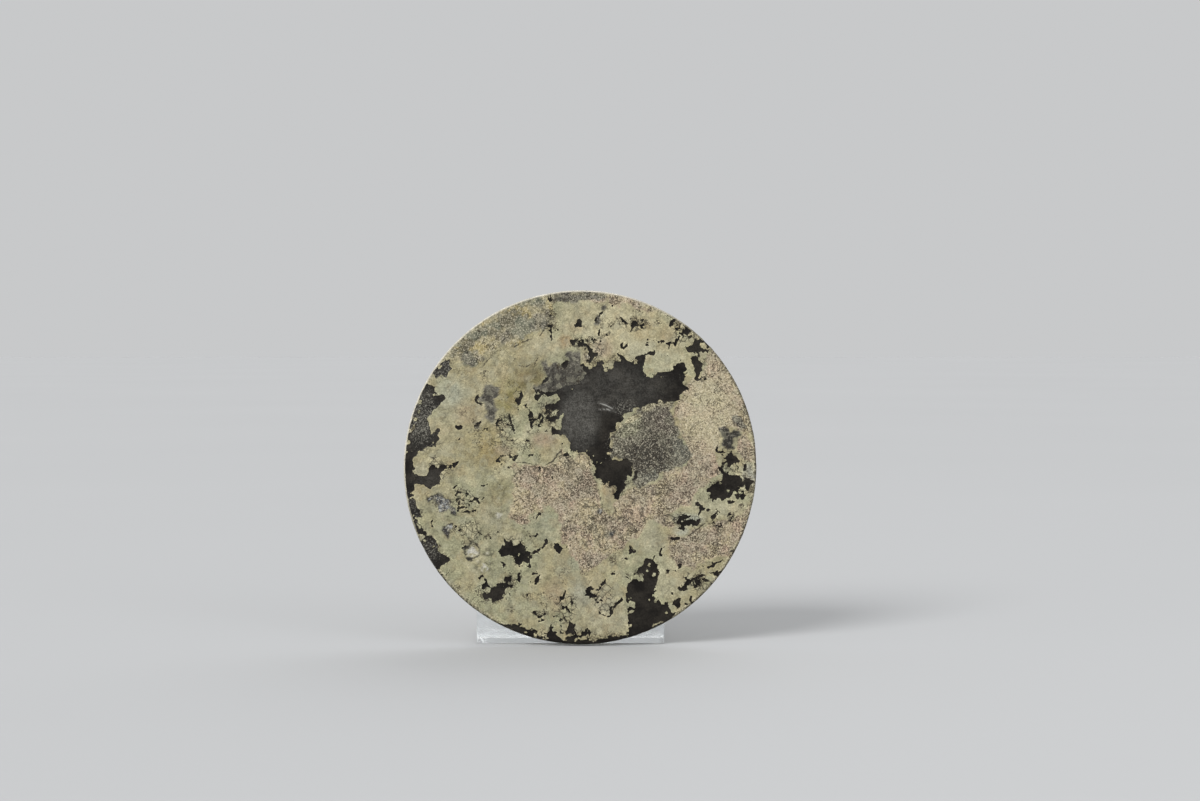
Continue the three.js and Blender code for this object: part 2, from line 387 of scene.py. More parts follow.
# bare streaks and cracks, each a stroke through (u, v, half width) points
bareStrokes = [
    [(0, 0.685, 0.012), (0.035, 0.67, 0.014), (0.05, 0.645, 0.01), (0.085, 0.63, 0.016),
     (0.06, 0.59, 0.014)],
    [(-0.035, 0.81, 0.006), (0.003, 0.82, 0.012)], [(0.05, 0.725, 0.01), (0.09, 0.72, 0.006)],
    [(0.1, 0.765, 0.005), (0.107, 0.745, 0.006)],
    [(0.085, 0.82, 0.009), (0.1, 0.86, 0.006), (0.12, 0.885, 0.009)],
    [(0.18, 0.92, 0.005), (0.187, 0.89, 0.009)], [(0.215, 0.845, 0.007), (0.25, 0.82, 0.011)],
    [(0.31, 0.815, 0.013), (0.3, 0.785, 0.014), (0.29, 0.75, 0.006)],
    [(0.31, 0.8, 0.006), (0.34, 0.797, 0.004), (0.355, 0.815, 0.008)],
    [(0.255, 0.703, 0.004), (0.237, 0.69, 0.008), (0.233, 0.67, 0.006)],
    [(0.46, 0.825, 0.005), (0.485, 0.825, 0.006)],
    [(0.44, 0.715, 0.007), (0.49, 0.69, 0.007), (0.53, 0.69, 0.012), (0.545, 0.715, 0.013),
     (0.555, 0.74, 0.006)],
    [(0.495, 0.685, 0.007), (0.495, 0.665, 0.005)], [(0.487, 0.64, 0.003), (0.478, 0.62, 0.003)],
    [(0.52, 0.845, 0.01), (0.535, 0.81, 0.014), (0.51, 0.785, 0.006)],
    [(0.555, 0.79, 0.012), (0.6, 0.75, 0.016)],
    [(0.65, 0.71, 0.005), (0.69, 0.68, 0.008), (0.695, 0.66, 0.005)],
    [(0.665, 0.65, 0.008), (0.7, 0.64, 0.006)], [(0.91, 0.37, 0.005), (0.925, 0.35, 0.008)],
    [(-0.2, 0.79, 0.006), (-0.17, 0.78, 0.008), (-0.155, 0.75, 0.008), (-0.157, 0.72, 0.009)],
    [(-0.16, 0.865, 0.006), (-0.185, 0.835, 0.004)], [(-0.09, 0.955, 0.018), (-0.06, 0.965, 0.014)],
    [(-0.345, 0.36, 0.014), (-0.345, 0.4, 0.012), (-0.35, 0.33, 0.01)],
    [(-0.31, 0.34, 0.006), (-0.29, 0.3, 0.006), (-0.29, 0.265, 0.008), (-0.27, 0.225, 0.014),
     (-0.265, 0.195, 0.005)],
    [(-0.235, 0.29, 0.01), (-0.215, 0.265, 0.009), (-0.24, 0.235, 0.005)],
    [(-0.19, 0.33, 0.006), (-0.195, 0.295, 0.006), (-0.215, 0.285, 0.004)],
    [(-0.175, 0.265, 0.016), (-0.15, 0.275, 0.014)], [(-0.3, 0.055, 0.008), (-0.255, 0.08, 0.006)],
    [(-0.23, -0.275, 0.008), (-0.24, -0.29, 0.006)],
    [(-0.395, 0.29, 0.006), (-0.395, 0.24, 0.009), (-0.38, 0.21, 0.016)],
    [(-0.45, 0.27, 0.005), (-0.47, 0.25, 0.009), (-0.455, 0.22, 0.008), (-0.44, 0.2, 0.006)],
    [(-0.585, 0.385, 0.012), (-0.57, 0.36, 0.015)], [(-0.57, 0.245, 0.014), (-0.585, 0.225, 0.01)],
    [(-0.69, 0.225, 0.026), (-0.68, 0.215, 0.024)],
    [(-0.4, 0.055, 0.008), (-0.45, 0.06, 0.005), (-0.465, 0.04, 0.006), (-0.445, 0.005, 0.007),
     (-0.435, -0.02, 0.004)],
    [(-0.565, -0.112, 0.006), (-0.54, -0.115, 0.01), (-0.52, -0.13, 0.004)],
    [(-0.64, -0.27, 0.007), (-0.6, -0.25, 0.008)], [(-0.71, -0.13, 0.009), (-0.69, -0.12, 0.006)],
    [(-0.66, -0.19, 0.005), (-0.6, -0.185, 0.009), (-0.57, -0.205, 0.008)],
    [(-0.685, -0.2, 0.006), (-0.685, -0.24, 0.007), (-0.65, -0.245, 0.005)],
    [(-0.84, -0.31, 0.006), (-0.83, -0.34, 0.006)], [(-0.74, -0.6, 0.004), (-0.735, -0.58, 0.003)],
    [(-0.8, -0.58, 0.012), (-0.75, -0.62, 0.012)],
    [(-0.36, -0.645, 0.005), (-0.345, -0.62, 0.008), (-0.35, -0.605, 0.007)],
    [(-0.28, -0.405, 0.006), (-0.24, -0.388, 0.008)],
    [(-0.29, -0.485, 0.006), (-0.245, -0.48, 0.005), (-0.22, -0.455, 0.011), (-0.19, -0.43, 0.009)],
    [(-0.275, -0.6, 0.007), (-0.255, -0.605, 0.008), (-0.245, -0.58, 0.005)],
    [(-0.24, -0.625, 0.007), (-0.27, -0.645, 0.011), (-0.265, -0.66, 0.006)],
    [(-0.093, -0.665, 0.004), (-0.09, -0.695, 0.008), (-0.1, -0.735, 0.013), (-0.105, -0.75, 0.007)],
    [(-0.055, -0.745, 0.007), (-0.045, -0.76, 0.005)], [(-0.09, -0.79, 0.007), (-0.065, -0.81, 0.01)],
    [(-0.255, -0.825, 0.006), (-0.23, -0.835, 0.009), (-0.19, -0.825, 0.005)],
    [(0.085, -0.69, 0.007), (0.06, -0.69, 0.013), (0.045, -0.71, 0.015), (0.06, -0.735, 0.01),
     (0.09, -0.755, 0.007), (0.11, -0.77, 0.006)],
    [(0.11, -0.68, 0.009), (0.127, -0.65, 0.006), (0.14, -0.625, 0.006)],
    [(0.09, -0.82, 0.007), (0.12, -0.835, 0.006), (0.165, -0.84, 0.01), (0.18, -0.81, 0.006),
     (0.2, -0.78, 0.01), (0.225, -0.755, 0.012)],
    [(0.275, -0.455, 0.015), (0.295, -0.47, 0.01), (0.27, -0.485, 0.006), (0.255, -0.53, 0.003)],
    [(0.26, -0.625, 0.012), (0.275, -0.635, 0.009)], [(0.3, -0.605, 0.007), (0.34, -0.595, 0.006)],
    [(-0.06, -0.958, 0.01), (0.02, -0.955, 0.02), (0.03, -0.935, 0.012), (0.06, -0.972, 0.006)],
    [(-0.44, -0.885, 0.006), (-0.36, -0.905, 0.012), (-0.28, -0.915, 0.01), (-0.25, -0.945, 0.008)],
    [(0.13, -0.965, 0.006), (0.2, -0.952, 0.005)],
    [(0.455, -0.455, 0.006), (0.445, -0.47, 0.011), (0.45, -0.5, 0.01)],
    [(0.47, -0.595, 0.006), (0.53, -0.588, 0.003)], [(0.525, -0.4, 0.011), (0.55, -0.42, 0.006)],
    [(0.56, -0.308, 0.008), (0.58, -0.29, 0.019), (0.6, -0.278, 0.011)],
    [(0.565, -0.352, 0.008), (0.6, -0.338, 0.019), (0.635, -0.315, 0.015), (0.66, -0.3, 0.008)],
    [(0.598, -0.34, 0.01), (0.592, -0.315, 0.006)],
    [(0.655, -0.28, 0.008), (0.675, -0.255, 0.009), (0.69, -0.235, 0.02), (0.66, -0.228, 0.012)],
    [(0.69, -0.235, 0.014), (0.72, -0.238, 0.008)], [(0.73, -0.195, 0.01), (0.745, -0.18, 0.012)],
    [(0.755, -0.25, 0.006), (0.765, -0.275, 0.007), (0.735, -0.3, 0.007), (0.755, -0.315, 0.006),
     (0.785, -0.325, 0.005)],
    [(0.82, -0.29, 0.006), (0.835, -0.27, 0.007), (0.855, -0.28, 0.006), (0.84, -0.305, 0.007),
     (0.82, -0.29, 0.005)],
    [(0.755, 0.09, 0.008), (0.775, 0.078, 0.006), (0.8, 0.08, 0.009)],
    [(0.79, -0.01, 0.016), (0.81, -0.03, 0.01)],
    [(0.93, 0.012, 0.004), (0.927, -0.01, 0.01), (0.915, -0.025, 0.008)],
    [(0.925, -0.08, 0.01), (0.945, -0.115, 0.026)], [(0.91, -0.14, 0.012), (0.92, -0.18, 0.006)],
    [(0.83, -0.19, 0.008), (0.86, -0.195, 0.01)],
    [(0.56, -0.695, 0.007), (0.575, -0.675, 0.01), (0.6, -0.65, 0.014), (0.62, -0.635, 0.006)],
    [(0.61, -0.65, 0.01), (0.64, -0.68, 0.008), (0.66, -0.655, 0.009), (0.7, -0.64, 0.006),
     (0.725, -0.655, 0.006)],
    [(0.645, -0.638, 0.006), (0.67, -0.625, 0.008), (0.71, -0.62, 0.004)],
    [(0.605, -0.73, 0.005), (0.617, -0.755, 0.006)], [(0.58, -0.77, 0.004), (0.605, -0.758, 0.004)],
    [(0.735, -0.6, 0.009), (0.78, -0.59, 0.012)], [(0.72, -0.555, 0.008), (0.79, -0.535, 0.012)],
    [(0.665, -0.565, 0.004), (0.69, -0.56, 0.003)],
    [(-0.965, 0.06, 0.02), (-0.965, -0.08, 0.024), (-0.955, -0.15, 0.02)],
    [(-0.955, -0.19, 0.018), (-0.945, -0.22, 0.016), (-0.925, -0.265, 0.022), (-0.9, -0.28, 0.008)],
    [(-0.935, -0.31, 0.014), (-0.92, -0.34, 0.024), (-0.89, -0.375, 0.018)],
    [(-0.985, 0.1, 0.012), (-0.99, 0, 0.01)], [(0.305, -0.03, 0.01), (0.3, -0.06, 0.012)],
]

# round bare spots: (u, v, radius)
bareSpots = [
    (-0.045, 0.705, 0.02), (0.025, 0.715, 0.01), (0.113, 0.705, 0.008), (0.145, 0.74, 0.006),
    (0.17, 0.8, 0.008), (0.385, 0.7, 0.007), (0.437, 0.828, 0.006), (0.575, 0.73, 0.009),
    (0.565, 0.6, 0.005), (-0.13, 0.77, 0.006), (-0.15, 0.955, 0.024), (-0.115, 0.935, 0.012),
    (-0.335, 0.055, 0.006), (-0.305, 0.145, 0.006), (-0.28, 0.13, 0.005), (-0.255, 0.155, 0.006),
    (-0.11, 0.14, 0.006), (-0.085, 0.08, 0.012), (-0.24, -0.02, 0.008), (-0.16, -0.065, 0.006),
    (-0.415, 0.225, 0.006), (-0.53, 0.205, 0.011), (-0.695, 0.145, 0.01), (-0.395, 0.15, 0.007),
    (-0.375, 0.05, 0.012), (-0.48, -0.01, 0.005), (-0.405, -0.005, 0.006), (-0.46, -0.09, 0.007),
    (-0.375, -0.045, 0.006), (-0.545, -0.175, 0.006), (-0.595, -0.305, 0.006), (-0.71, -0.155, 0.007),
    (-0.65, -0.148, 0.01), (-0.695, -0.075, 0.006), (-0.58, -0.17, 0.006), (-0.635, -0.21, 0.01),
    (-0.64, -0.34, 0.006), (-0.675, -0.36, 0.005), (-0.71, -0.34, 0.007), (-0.56, -0.385, 0.006),
    (-0.52, -0.41, 0.008), (-0.46, -0.386, 0.005), (-0.61, -0.415, 0.011), (-0.665, -0.445, 0.009),
    (-0.725, -0.515, 0.008), (-0.44, -0.555, 0.014), (-0.56, -0.625, 0.008), (-0.545, -0.65, 0.009),
    (-0.4, -0.72, 0.005), (-0.31, -0.72, 0.007), (-0.295, -0.65, 0.005), (-0.1, -0.81, 0.006),
    (-0.11, -0.855, 0.006), (-0.08, -0.87, 0.005), (-0.225, -0.865, 0.009), (0.18, -0.6, 0.009),
    (0.175, -0.755, 0.006), (0.19, -0.53, 0.006), (0.27, -0.785, 0.008), (-0.045, -0.913, 0.03),
    (-0.12, -0.895, 0.009), (-0.165, -0.9, 0.004), (-0.145, -0.96, 0.012), (-0.345, -0.885, 0.012),
    (0.075, -0.885, 0.005), (0.545, -0.565, 0.015), (0.53, -0.545, 0.01), (0.76, 0.11, 0.006),
    (0.975, 0.012, 0.007), (0.89, -0.17, 0.014), (0.925, -0.215, 0.006), (0.735, -0.535, 0.006),
]

# pale crust that stands alone on bare metal: (u, v, radius)
crustDots = [
    (0.14, 0.545, 0.011), (0.07, 0.578, 0.017), (0.035, 0.575, 0.014), (0.65, 0.632, 0.009),
    (0.385, -0.555, 0.009), (0.372, -0.586, 0.008), (0.41, -0.607, 0.011), (0.384, -0.75, 0.005),
    (0.48, -0.822, 0.008), (0.815, 0.065, 0.012), (0.815, -0.02, 0.013), (0.84, -0.04, 0.009),
    (0.87, -0.045, 0.007), (0.83, -0.14, 0.008), (0.09, 0.02, 0.005), (0.113, 0.018, 0.005),
    (0.073, 0.058, 0.005), (-0.525, -0.695, 0.018), (-0.01, -0.94, 0.012), (0.79, 0.07, 0.006),
    (0.87, -0.15, 0.01), (-0.16, 0.3, 0.01), (-0.14, 0.31, 0.01), (0.56, 0.77, 0.01),
    (-0.055, 0.435, 0.004),
]

# zones where the crust is eroded to pinkish grains
grainZones = [
    [(-0.4, 0), (-0.31, 0.02), (-0.2, 0.01), (-0.14, 0.04), (-0.11, 0.085), (-0.07, 0.045), (0, 0.07),
     (0.05, 0.04), (0.075, -0.03), (0.09, -0.13), (0.12, -0.24), (0.17, -0.26), (0.22, -0.18),
     (0.26, -0.12), (0.34, -0.12), (0.42, -0.09), (0.47, -0.02), (0.57, -0.01), (0.62, 0.06), (0.57, 0.16),
     (0.52, 0.28), (0.54, 0.36), (0.57, 0.42), (0.66, 0.5), (0.72, 0.63), (0.79, 0.6), (0.89, 0.44),
     (0.96, 0.28), (0.95, 0.21), (0.87, 0.22), (0.79, 0.22), (0.8, 0.12), (0.76, 0.08), (0.78, 0),
     (0.76, -0.06), (0.69, -0.13), (0.62, -0.17), (0.6, -0.22), (0.53, -0.25), (0.5, -0.33), (0.4, -0.31),
     (0.33, -0.38), (0.24, -0.46), (0.15, -0.5), (0.07, -0.57), (0, -0.6), (-0.03, -0.52), (-0.1, -0.42),
     (-0.12, -0.28), (-0.16, -0.22), (-0.26, -0.25), (-0.3, -0.33), (-0.36, -0.33), (-0.41, -0.28),
     (-0.38, -0.18), (-0.36, -0.1)],
    [(0.5, -0.4), (0.6, -0.395), (0.66, -0.35), (0.72, -0.315), (0.84, -0.31), (0.97, -0.22), (0.93, -0.4),
     (0.85, -0.52), (0.78, -0.52), (0.7, -0.53), (0.64, -0.57), (0.56, -0.56), (0.5, -0.5)],
    [(0.88, 0.15), (0.93, 0.18), (0.99, 0.12), (0.985, 0.03), (0.95, 0.02), (0.91, 0.03)],
    [(0.14, 1), (0.16, 0.93), (0.25, 0.91), (0.35, 0.885), (0.42, 0.87), (0.5, 0.88), (0.46, 0.95)],
    [(-0.1, 0.95), (0.14, 0.935), (0.16, 1), (-0.12, 1)],
]

# the grey-green island beside the bare metal
islandOutline = [
    (0.17, 0.17), (0.21, 0.23), (0.28, 0.28), (0.36, 0.335), (0.42, 0.36), (0.48, 0.385), (0.51, 0.36),
    (0.51, 0.29), (0.54, 0.23), (0.565, 0.17), (0.6, 0.12), (0.625, 0.05), (0.6, 0.01), (0.57, -0.005),
    (0.49, 0), (0.46, -0.03), (0.43, -0.08), (0.38, -0.095), (0.335, -0.13), (0.285, -0.085), (0.3, 0),
    (0.24, 0.03), (0.16, 0.04), (0.175, 0.12),
]

# pale crust left along its upper edge
islandCrusts = [
    [(0.165, 0.175, 0.008), (0.2, 0.205, 0.01), (0.235, 0.245, 0.012), (0.28, 0.265, 0.022),
     (0.33, 0.285, 0.008)],
    [(0.36, 0.325, 0.006), (0.42, 0.345, 0.014), (0.465, 0.36, 0.026), (0.49, 0.345, 0.012)],
    [(0.2, 0.042, 0.006), (0.28, 0.015, 0.008), (0.3, -0.02, 0.01), (0.275, -0.08, 0.01)],
]

# mottled olive and grey zone at the upper left edge
murkOutline = [
    (-0.8, 0.62), (-0.62, 0.8), (-0.4, 0.93), (-0.14, 1.02), (-0.15, 0.9), (-0.19, 0.79), (-0.27, 0.74),
    (-0.38, 0.69), (-0.45, 0.67), (-0.52, 0.64), (-0.55, 0.57), (-0.66, 0.57), (-0.7, 0.6),
]

# fine dark seams where one crust laps over another
seams = [
    [(-0.2, 0.005, 0.0035), (-0.155, 0.03, 0.005), (-0.13, 0.07, 0.004), (-0.11, 0.085, 0.003)],
    [(-0.085, 0.045, 0.004), (-0.04, 0.06, 0.0035), (0, 0.068, 0.003), (0.04, 0.05, 0.003),
     (0.06, 0, 0.003), (0.075, -0.06, 0.003), (0.1, -0.14, 0.003), (0.12, -0.22, 0.003),
     (0.14, -0.28, 0.003), (0.2, -0.3, 0.003)],
    [(-0.36, 0.02, 0.003), (-0.31, 0.02, 0.004), (-0.25, 0, 0.003)],
    [(0.6, -0.395, 0.003), (0.66, -0.35, 0.005), (0.7, -0.32, 0.003)],
    [(-0.38, 0.675, 0.003), (-0.33, 0.705, 0.004), (-0.27, 0.722, 0.004)],
    [(-0.235, 0.735, 0.003), (-0.21, 0.775, 0.004), (-0.185, 0.785, 0.003)],
    [(-0.48, 0.655, 0.003), (-0.44, 0.66, 0.004), (-0.41, 0.64, 0.003)],
    [(-0.56, 0.56, 0.003), (-0.53, 0.6, 0.004), (-0.5, 0.62, 0.003)],
    [(-0.36, 0.57, 0.003), (-0.31, 0.565, 0.004), (-0.26, 0.58, 0.003), (-0.245, 0.61, 0.003)],
    [(0.5, 0.38, 0.002), (0.6, 0.44, 0.003), (0.66, 0.5, 0.003)],
    [(0.9, -0.4, 0.003), (0.87, -0.46, 0.004), (0.84, -0.48, 0.003)],
    [(-0.38, -0.2, 0.003), (-0.34, -0.18, 0.003), (-0.31, -0.21, 0.003)],
    [(0.88, 0.14, 0.002), (0.92, 0.17, 0.003), (0.95, 0.14, 0.002)],
    [(0.46, -0.28, 0.003), (0.47, -0.31, 0.004), (0.5, -0.32, 0.003), (0.53, -0.29, 0.004),
     (0.49, -0.27, 0.003), (0.46, -0.28, 0.003)],
]

# colours of the smooth crust: centre, reach, colour, strength
crustStains = [
    ((0.15, 0.8), (0.42, 0.22), (0.46, 0.415, 0.265), 0.9),
    ((0.48, 0.6), (0.16, 0.11), (0.44, 0.41, 0.27), 0.9),
    ((0.33, 0.66), (0.15, 0.09), (0.48, 0.44, 0.29), 0.8),
    ((-0.2, 0.68), (0.16, 0.1), (0.42, 0.38, 0.25), 0.8),
    ((0.5, -0.62), (0.16, 0.18), (0.4, 0.375, 0.25), 0.8),
    ((0.15, -0.85), (0.22, 0.14), (0.4, 0.37, 0.25), 0.8),
    ((-0.75, 0.3), (0.14, 0.2), (0.38, 0.345, 0.22), 0.8),
    ((0.75, -0.22), (0.22, 0.1), (0.42, 0.39, 0.26), 0.8),
    ((-0.53, 0.14), (0.16, 0.13), (0.32, 0.265, 0.13), 0.7),
    ((-0.53, 0.05), (0.16, 0.1), (0.27, 0.21, 0.09), 0.6),
    ((-0.3, 0.51), (0.15, 0.13), (0.17, 0.14, 0.07), 0.95),
    ((-0.41, 0.4), (0.12, 0.16), (0.23, 0.2, 0.085), 0.9),
    ((-0.25, 0.46), (0.1, 0.05), (0.19, 0.17, 0.08), 0.7),
    ((-0.62, 0.72), (0.08, 0.05), (0.34, 0.26, 0.12), 0.9),
    ((-0.5, 0.79), (0.11, 0.06), (0.24, 0.21, 0.1), 0.7),
    ((-0.33, 0.78), (0.1, 0.08), (0.22, 0.19, 0.09), 0.7),
    ((-0.73, 0.42), (0.13, 0.12), (0.35, 0.35, 0.26), 0.8),
    ((-0.09, 0.71), (0.06, 0.06), (0.34, 0.24, 0.13), 0.8),
    ((0.12, 0.67), (0.09, 0.08), (0.35, 0.28, 0.2), 0.8),
    ((-0.05, 0.78), (0.12, 0.04), (0.34, 0.27, 0.16), 0.5),
    ((0.35, 0.78), (0.14, 0.1), (0.35, 0.29, 0.16), 0.5),
    ((0.49, 0.75), (0.07, 0.07), (0.36, 0.28, 0.16), 0.6),
    ((0, 0.86), (0.16, 0.07), (0.38, 0.34, 0.21), 0.7), ((0.32, 0.64), (0.1, 0.05), (0.4, 0.38, 0.26), 0.7),
    ((-0.2, -0.32), (0.13, 0.09), (0.28, 0.28, 0.19), 0.9),
    ((-0.33, -0.25), (0.08, 0.08), (0.32, 0.27, 0.16), 0.2),
    ((-0.06, -0.56), (0.12, 0.1), (0.3, 0.3, 0.21), 0.7), ((-0.3, -0.8), (0.2, 0.08), (0.3, 0.3, 0.2), 0.6),
    ((0, -0.72), (0.09, 0.12), (0.3, 0.29, 0.22), 0.7),
    ((0.12, -0.75), (0.1, 0.1), (0.33, 0.31, 0.23), 0.6),
    ((-0.14, -0.72), (0.1, 0.12), (0.34, 0.27, 0.17), 0.7),
    ((-0.5, -0.3), (0.2, 0.2), (0.3, 0.27, 0.17), 0.6),
    ((-0.62, -0.02), (0.2, 0.1), (0.3, 0.27, 0.16), 0.6),
    ((-0.45, -0.14), (0.13, 0.1), (0.25, 0.22, 0.12), 0.7),
    ((0.4, -0.42), (0.1, 0.12), (0.34, 0.32, 0.22), 0.7),
    ((0.6, -0.3), (0.14, 0.05), (0.35, 0.35, 0.27), 0.9),
    ((0.56, -0.36), (0.07, 0.05), (0.35, 0.35, 0.27), 0.9),
    ((0.95, -0.05), (0.06, 0.1), (0.37, 0.36, 0.29), 0.9),
    ((0.9, -0.24), (0.1, 0.06), (0.37, 0.33, 0.22), 0.6),
    ((0.7, -0.17), (0.1, 0.04), (0.32, 0.31, 0.2), 0.7),
    ((-0.9, -0.02), (0.06, 0.08), (0.37, 0.34, 0.23), 0.8),
    ((-0.84, 0.24), (0.05, 0.06), (0.35, 0.32, 0.2), 0.8),
    ((-0.63, 0.3), (0.12, 0.1), (0.32, 0.25, 0.16), 0.6),
    ((-0.6, 0.5), (0.14, 0.08), (0.34, 0.29, 0.17), 0.6),
    ((-0.21, 0.15), (0.1, 0.06), (0.35, 0.26, 0.19), 0.8),
    ((0.16, -0.14), (0.06, 0.1), (0.34, 0.25, 0.14), 0.8),
    ((-0.44, 0.09), (0.07, 0.05), (0.34, 0.26, 0.19), 0.5),
    ((0.6, 0.48), (0.05, 0.1), (0.35, 0.32, 0.19), 0.7),
    ((-0.86, -0.28), (0.07, 0.1), (0.32, 0.28, 0.16), 0.5),
    ((0.03, 0.62), (0.05, 0.05), (0.37, 0.32, 0.22), 0.7),
]

# whitish pustules, each a little dome: (u, v, radius, strength)
pustules = [
    (-0.605, -0.478, 0.038, 1), (-0.525, -0.487, 0.027, 0.9), (-0.545, -0.567, 0.036, 0.85),
    (-0.515, -0.535, 0.02, 0.7), (-0.58, -0.535, 0.016, 0.6), (-0.47, -0.275, 0.022, 0.7),
    (-0.465, -0.178, 0.014, 0.6), (0.035, -0.345, 0.009, 0.6), (0.14, 0.545, 0.01, 0.8),
    (0.04, 0.615, 0.022, 0.5),
]

# blue-grey crystals
crystalStrokes = [
    [(-0.855, -0.182, 0.008), (-0.8, -0.182, 0.02), (-0.765, -0.215, 0.034), (-0.72, -0.25, 0.024),
     (-0.7, -0.285, 0.01)],
    [(-0.755, -0.355, 0.03), (-0.74, -0.325, 0.012)], [(0.11, -0.255, 0.016)],
    [(0.165, -0.385, 0.014), (0.185, -0.37, 0.01)],
]

# painted sheen on the bare metal, a grey painted reflection that also makes the metal smoother and more
# metallic: centre, reach, strength
polishAndPaintedSheenSpots = [
    ((-0.01, 0.27), (0.17, 0.26), 1), ((0, 0.16), (0.1, 0.1), 0.9), ((-0.06, 0.48), (0.24, 0.12), 0.5),
    ((0.22, 0.45), (0.45, 0.24), 0.45), ((-0.9, 0.28), (0.2, 0.4), 0.35),
    ((-0.86, -0.07), (0.16, 0.1), 0.3), ((-0.84, -0.47), (0.14, 0.14), 0.3),
    ((-0.94, -0.25), (0.12, 0.2), 0.3), ((-0.78, 0.54), (0.16, 0.14), 0.42),
]

# two scratches, painted bright as glints in the painted sheen
scratchGlints = [
    [(0.095, 0.362, 0.002), (0.141, 0.346, 0.005), (0.176, 0.323, 0.004), (0.2, 0.305, 0.001)],
    [(0.1, 0.32, 0.001), (0.145, 0.322, 0.004), (0.19, 0.308, 0.001)],
]

# pale dust lying on the bare metal
dustSpots = [
    ((-0.9, 0.28), (0.18, 0.34), 1.1), ((-0.86, -0.07), (0.12, 0.08), 0.45),
    ((-0.94, -0.25), (0.12, 0.24), 0.9), ((-0.78, 0.54), (0.18, 0.16), 1),
    ((0.85, -0.12), (0.14, 0.1), 0.5), ((0.25, 0.33), (0.15, 0.1), 1), ((0.17, 0.12), (0.07, 0.16), 0.8),
    ((0.5, 0.5), (0.16, 0.1), 0.5), ((0, 0.5), (0.2, 0.1), 0.4), ((-0.84, -0.47), (0.12, 0.14), 1),
]

# grey metal that shows through thin crust
thinOutlines = [
    [(-0.27, 0.44), (-0.19, 0.5), (-0.22, 0.55), (-0.245, 0.62), (-0.21, 0.61), (-0.18, 0.57), (-0.15, 0.6),
     (-0.13, 0.57), (-0.09, 0.57), (-0.075, 0.6), (-0.08, 0.64), (-0.04, 0.67), (-0.01, 0.64), (0, 0.57),
     (0.03, 0.52), (0, 0.46), (-0.08, 0.43), (-0.19, 0.425)],
    [(-0.535, 0.455), (-0.47, 0.44), (-0.47, 0.38), (-0.49, 0.34), (-0.47, 0.27), (-0.49, 0.21),
     (-0.53, 0.25), (-0.59, 0.22), (-0.575, 0.28), (-0.53, 0.31), (-0.55, 0.35), (-0.6, 0.385),
     (-0.54, 0.4)],
    [(-0.68, 0.63), (-0.6, 0.66), (-0.54, 0.64), (-0.53, 0.6), (-0.62, 0.57), (-0.68, 0.59)],
    [(-0.5, 0.75), (-0.42, 0.77), (-0.37, 0.72), (-0.44, 0.69), (-0.49, 0.71)],
    [(-0.29, 0.8), (-0.24, 0.87), (-0.18, 0.9), (-0.19, 0.79), (-0.26, 0.75), (-0.31, 0.77)],
    [(-0.19, 1.01), (-0.17, 0.92), (-0.08, 0.93), (0.02, 0.945), (0.14, 0.95), (0.15, 1.01)],
    [(0.82, 0.25), (0.85, 0.3), (0.92, 0.29), (0.93, 0.23), (0.86, 0.235)],
    [(0.77, 0.225), (0.84, 0.215), (0.9, 0.18), (0.89, 0.14), (0.86, 0.1), (0.83, 0.09), (0.77, 0.1),
     (0.79, 0.16)],
    [(0.08, 0.81), (0.08, 0.85), (0.1, 0.89), (0.13, 0.9), (0.12, 0.86), (0.1, 0.81)],
]

# zones where the crust has crazed apart: centre, reach
crazedSpots = [
    ((-0.21, 0.28), (0.13, 0.16)), ((0.04, 0.68), (0.12, 0.1)), ((0.82, 0.03), (0.09, 0.13)),
    ((0.57, 0.77), (0.1, 0.1)), ((-0.65, -0.19), (0.11, 0.14)), ((-0.42, 0.22), (0.1, 0.11)),
    ((0.64, -0.66), (0.14, 0.09)), ((-0.62, -0.36), (0.12, 0.09)), ((0.6, -0.3), (0.12, 0.07)),
    ((-0.45, -0.7), (0.14, 0.1)), ((0.13, -0.73), (0.12, 0.13)), ((-0.1, -0.8), (0.12, 0.14)),
    ((0, -0.93), (0.25, 0.05)), ((0.32, 0.8), (0.1, 0.06)), ((-0.36, -0.47), (0.13, 0.1)),
    ((-0.8, 0), (0.14, 0.1)), ((-0.57, 0.22), (0.08, 0.06)),
]

# smooth crust with hardly a speck on it: centre, reach
cleanSpots = [
    ((-0.46, -0.14), (0.28, 0.28)), ((-0.62, 0.02), (0.26, 0.12)), ((0.38, -0.42), (0.12, 0.22)),
    ((0.48, -0.64), (0.14, 0.16)), ((0.3, 0.67), (0.16, 0.1)), ((0.48, 0.6), (0.14, 0.1)),
    ((-0.72, 0.4), (0.14, 0.14)), ((-0.2, 0.66), (0.12, 0.08)), ((0.02, 0.85), (0.14, 0.08)),
    ((0.4, 0.76), (0.12, 0.06)), ((-0.2, -0.34), (0.12, 0.08)), ((-0.24, -0.56), (0.14, 0.08)),
    ((0.14, -0.88), (0.12, 0.08)), ((-0.55, -0.62), (0.12, 0.08)), ((-0.9, -0.02), (0.06, 0.1)),
]

print("patina laid out:", len(bareOutlines) + len(bareStrokes), "bare places")

relief = {
    "waviness": 0.10,  # slow rise and fall of the crust
    "bareDepth": 0.24,  # how far bare metal lies below the crust
    "grainDepth": 0.12,
    "skin": 0.04,  # kept clear of the casting's true outline
    "backGrain": 0.08,
}

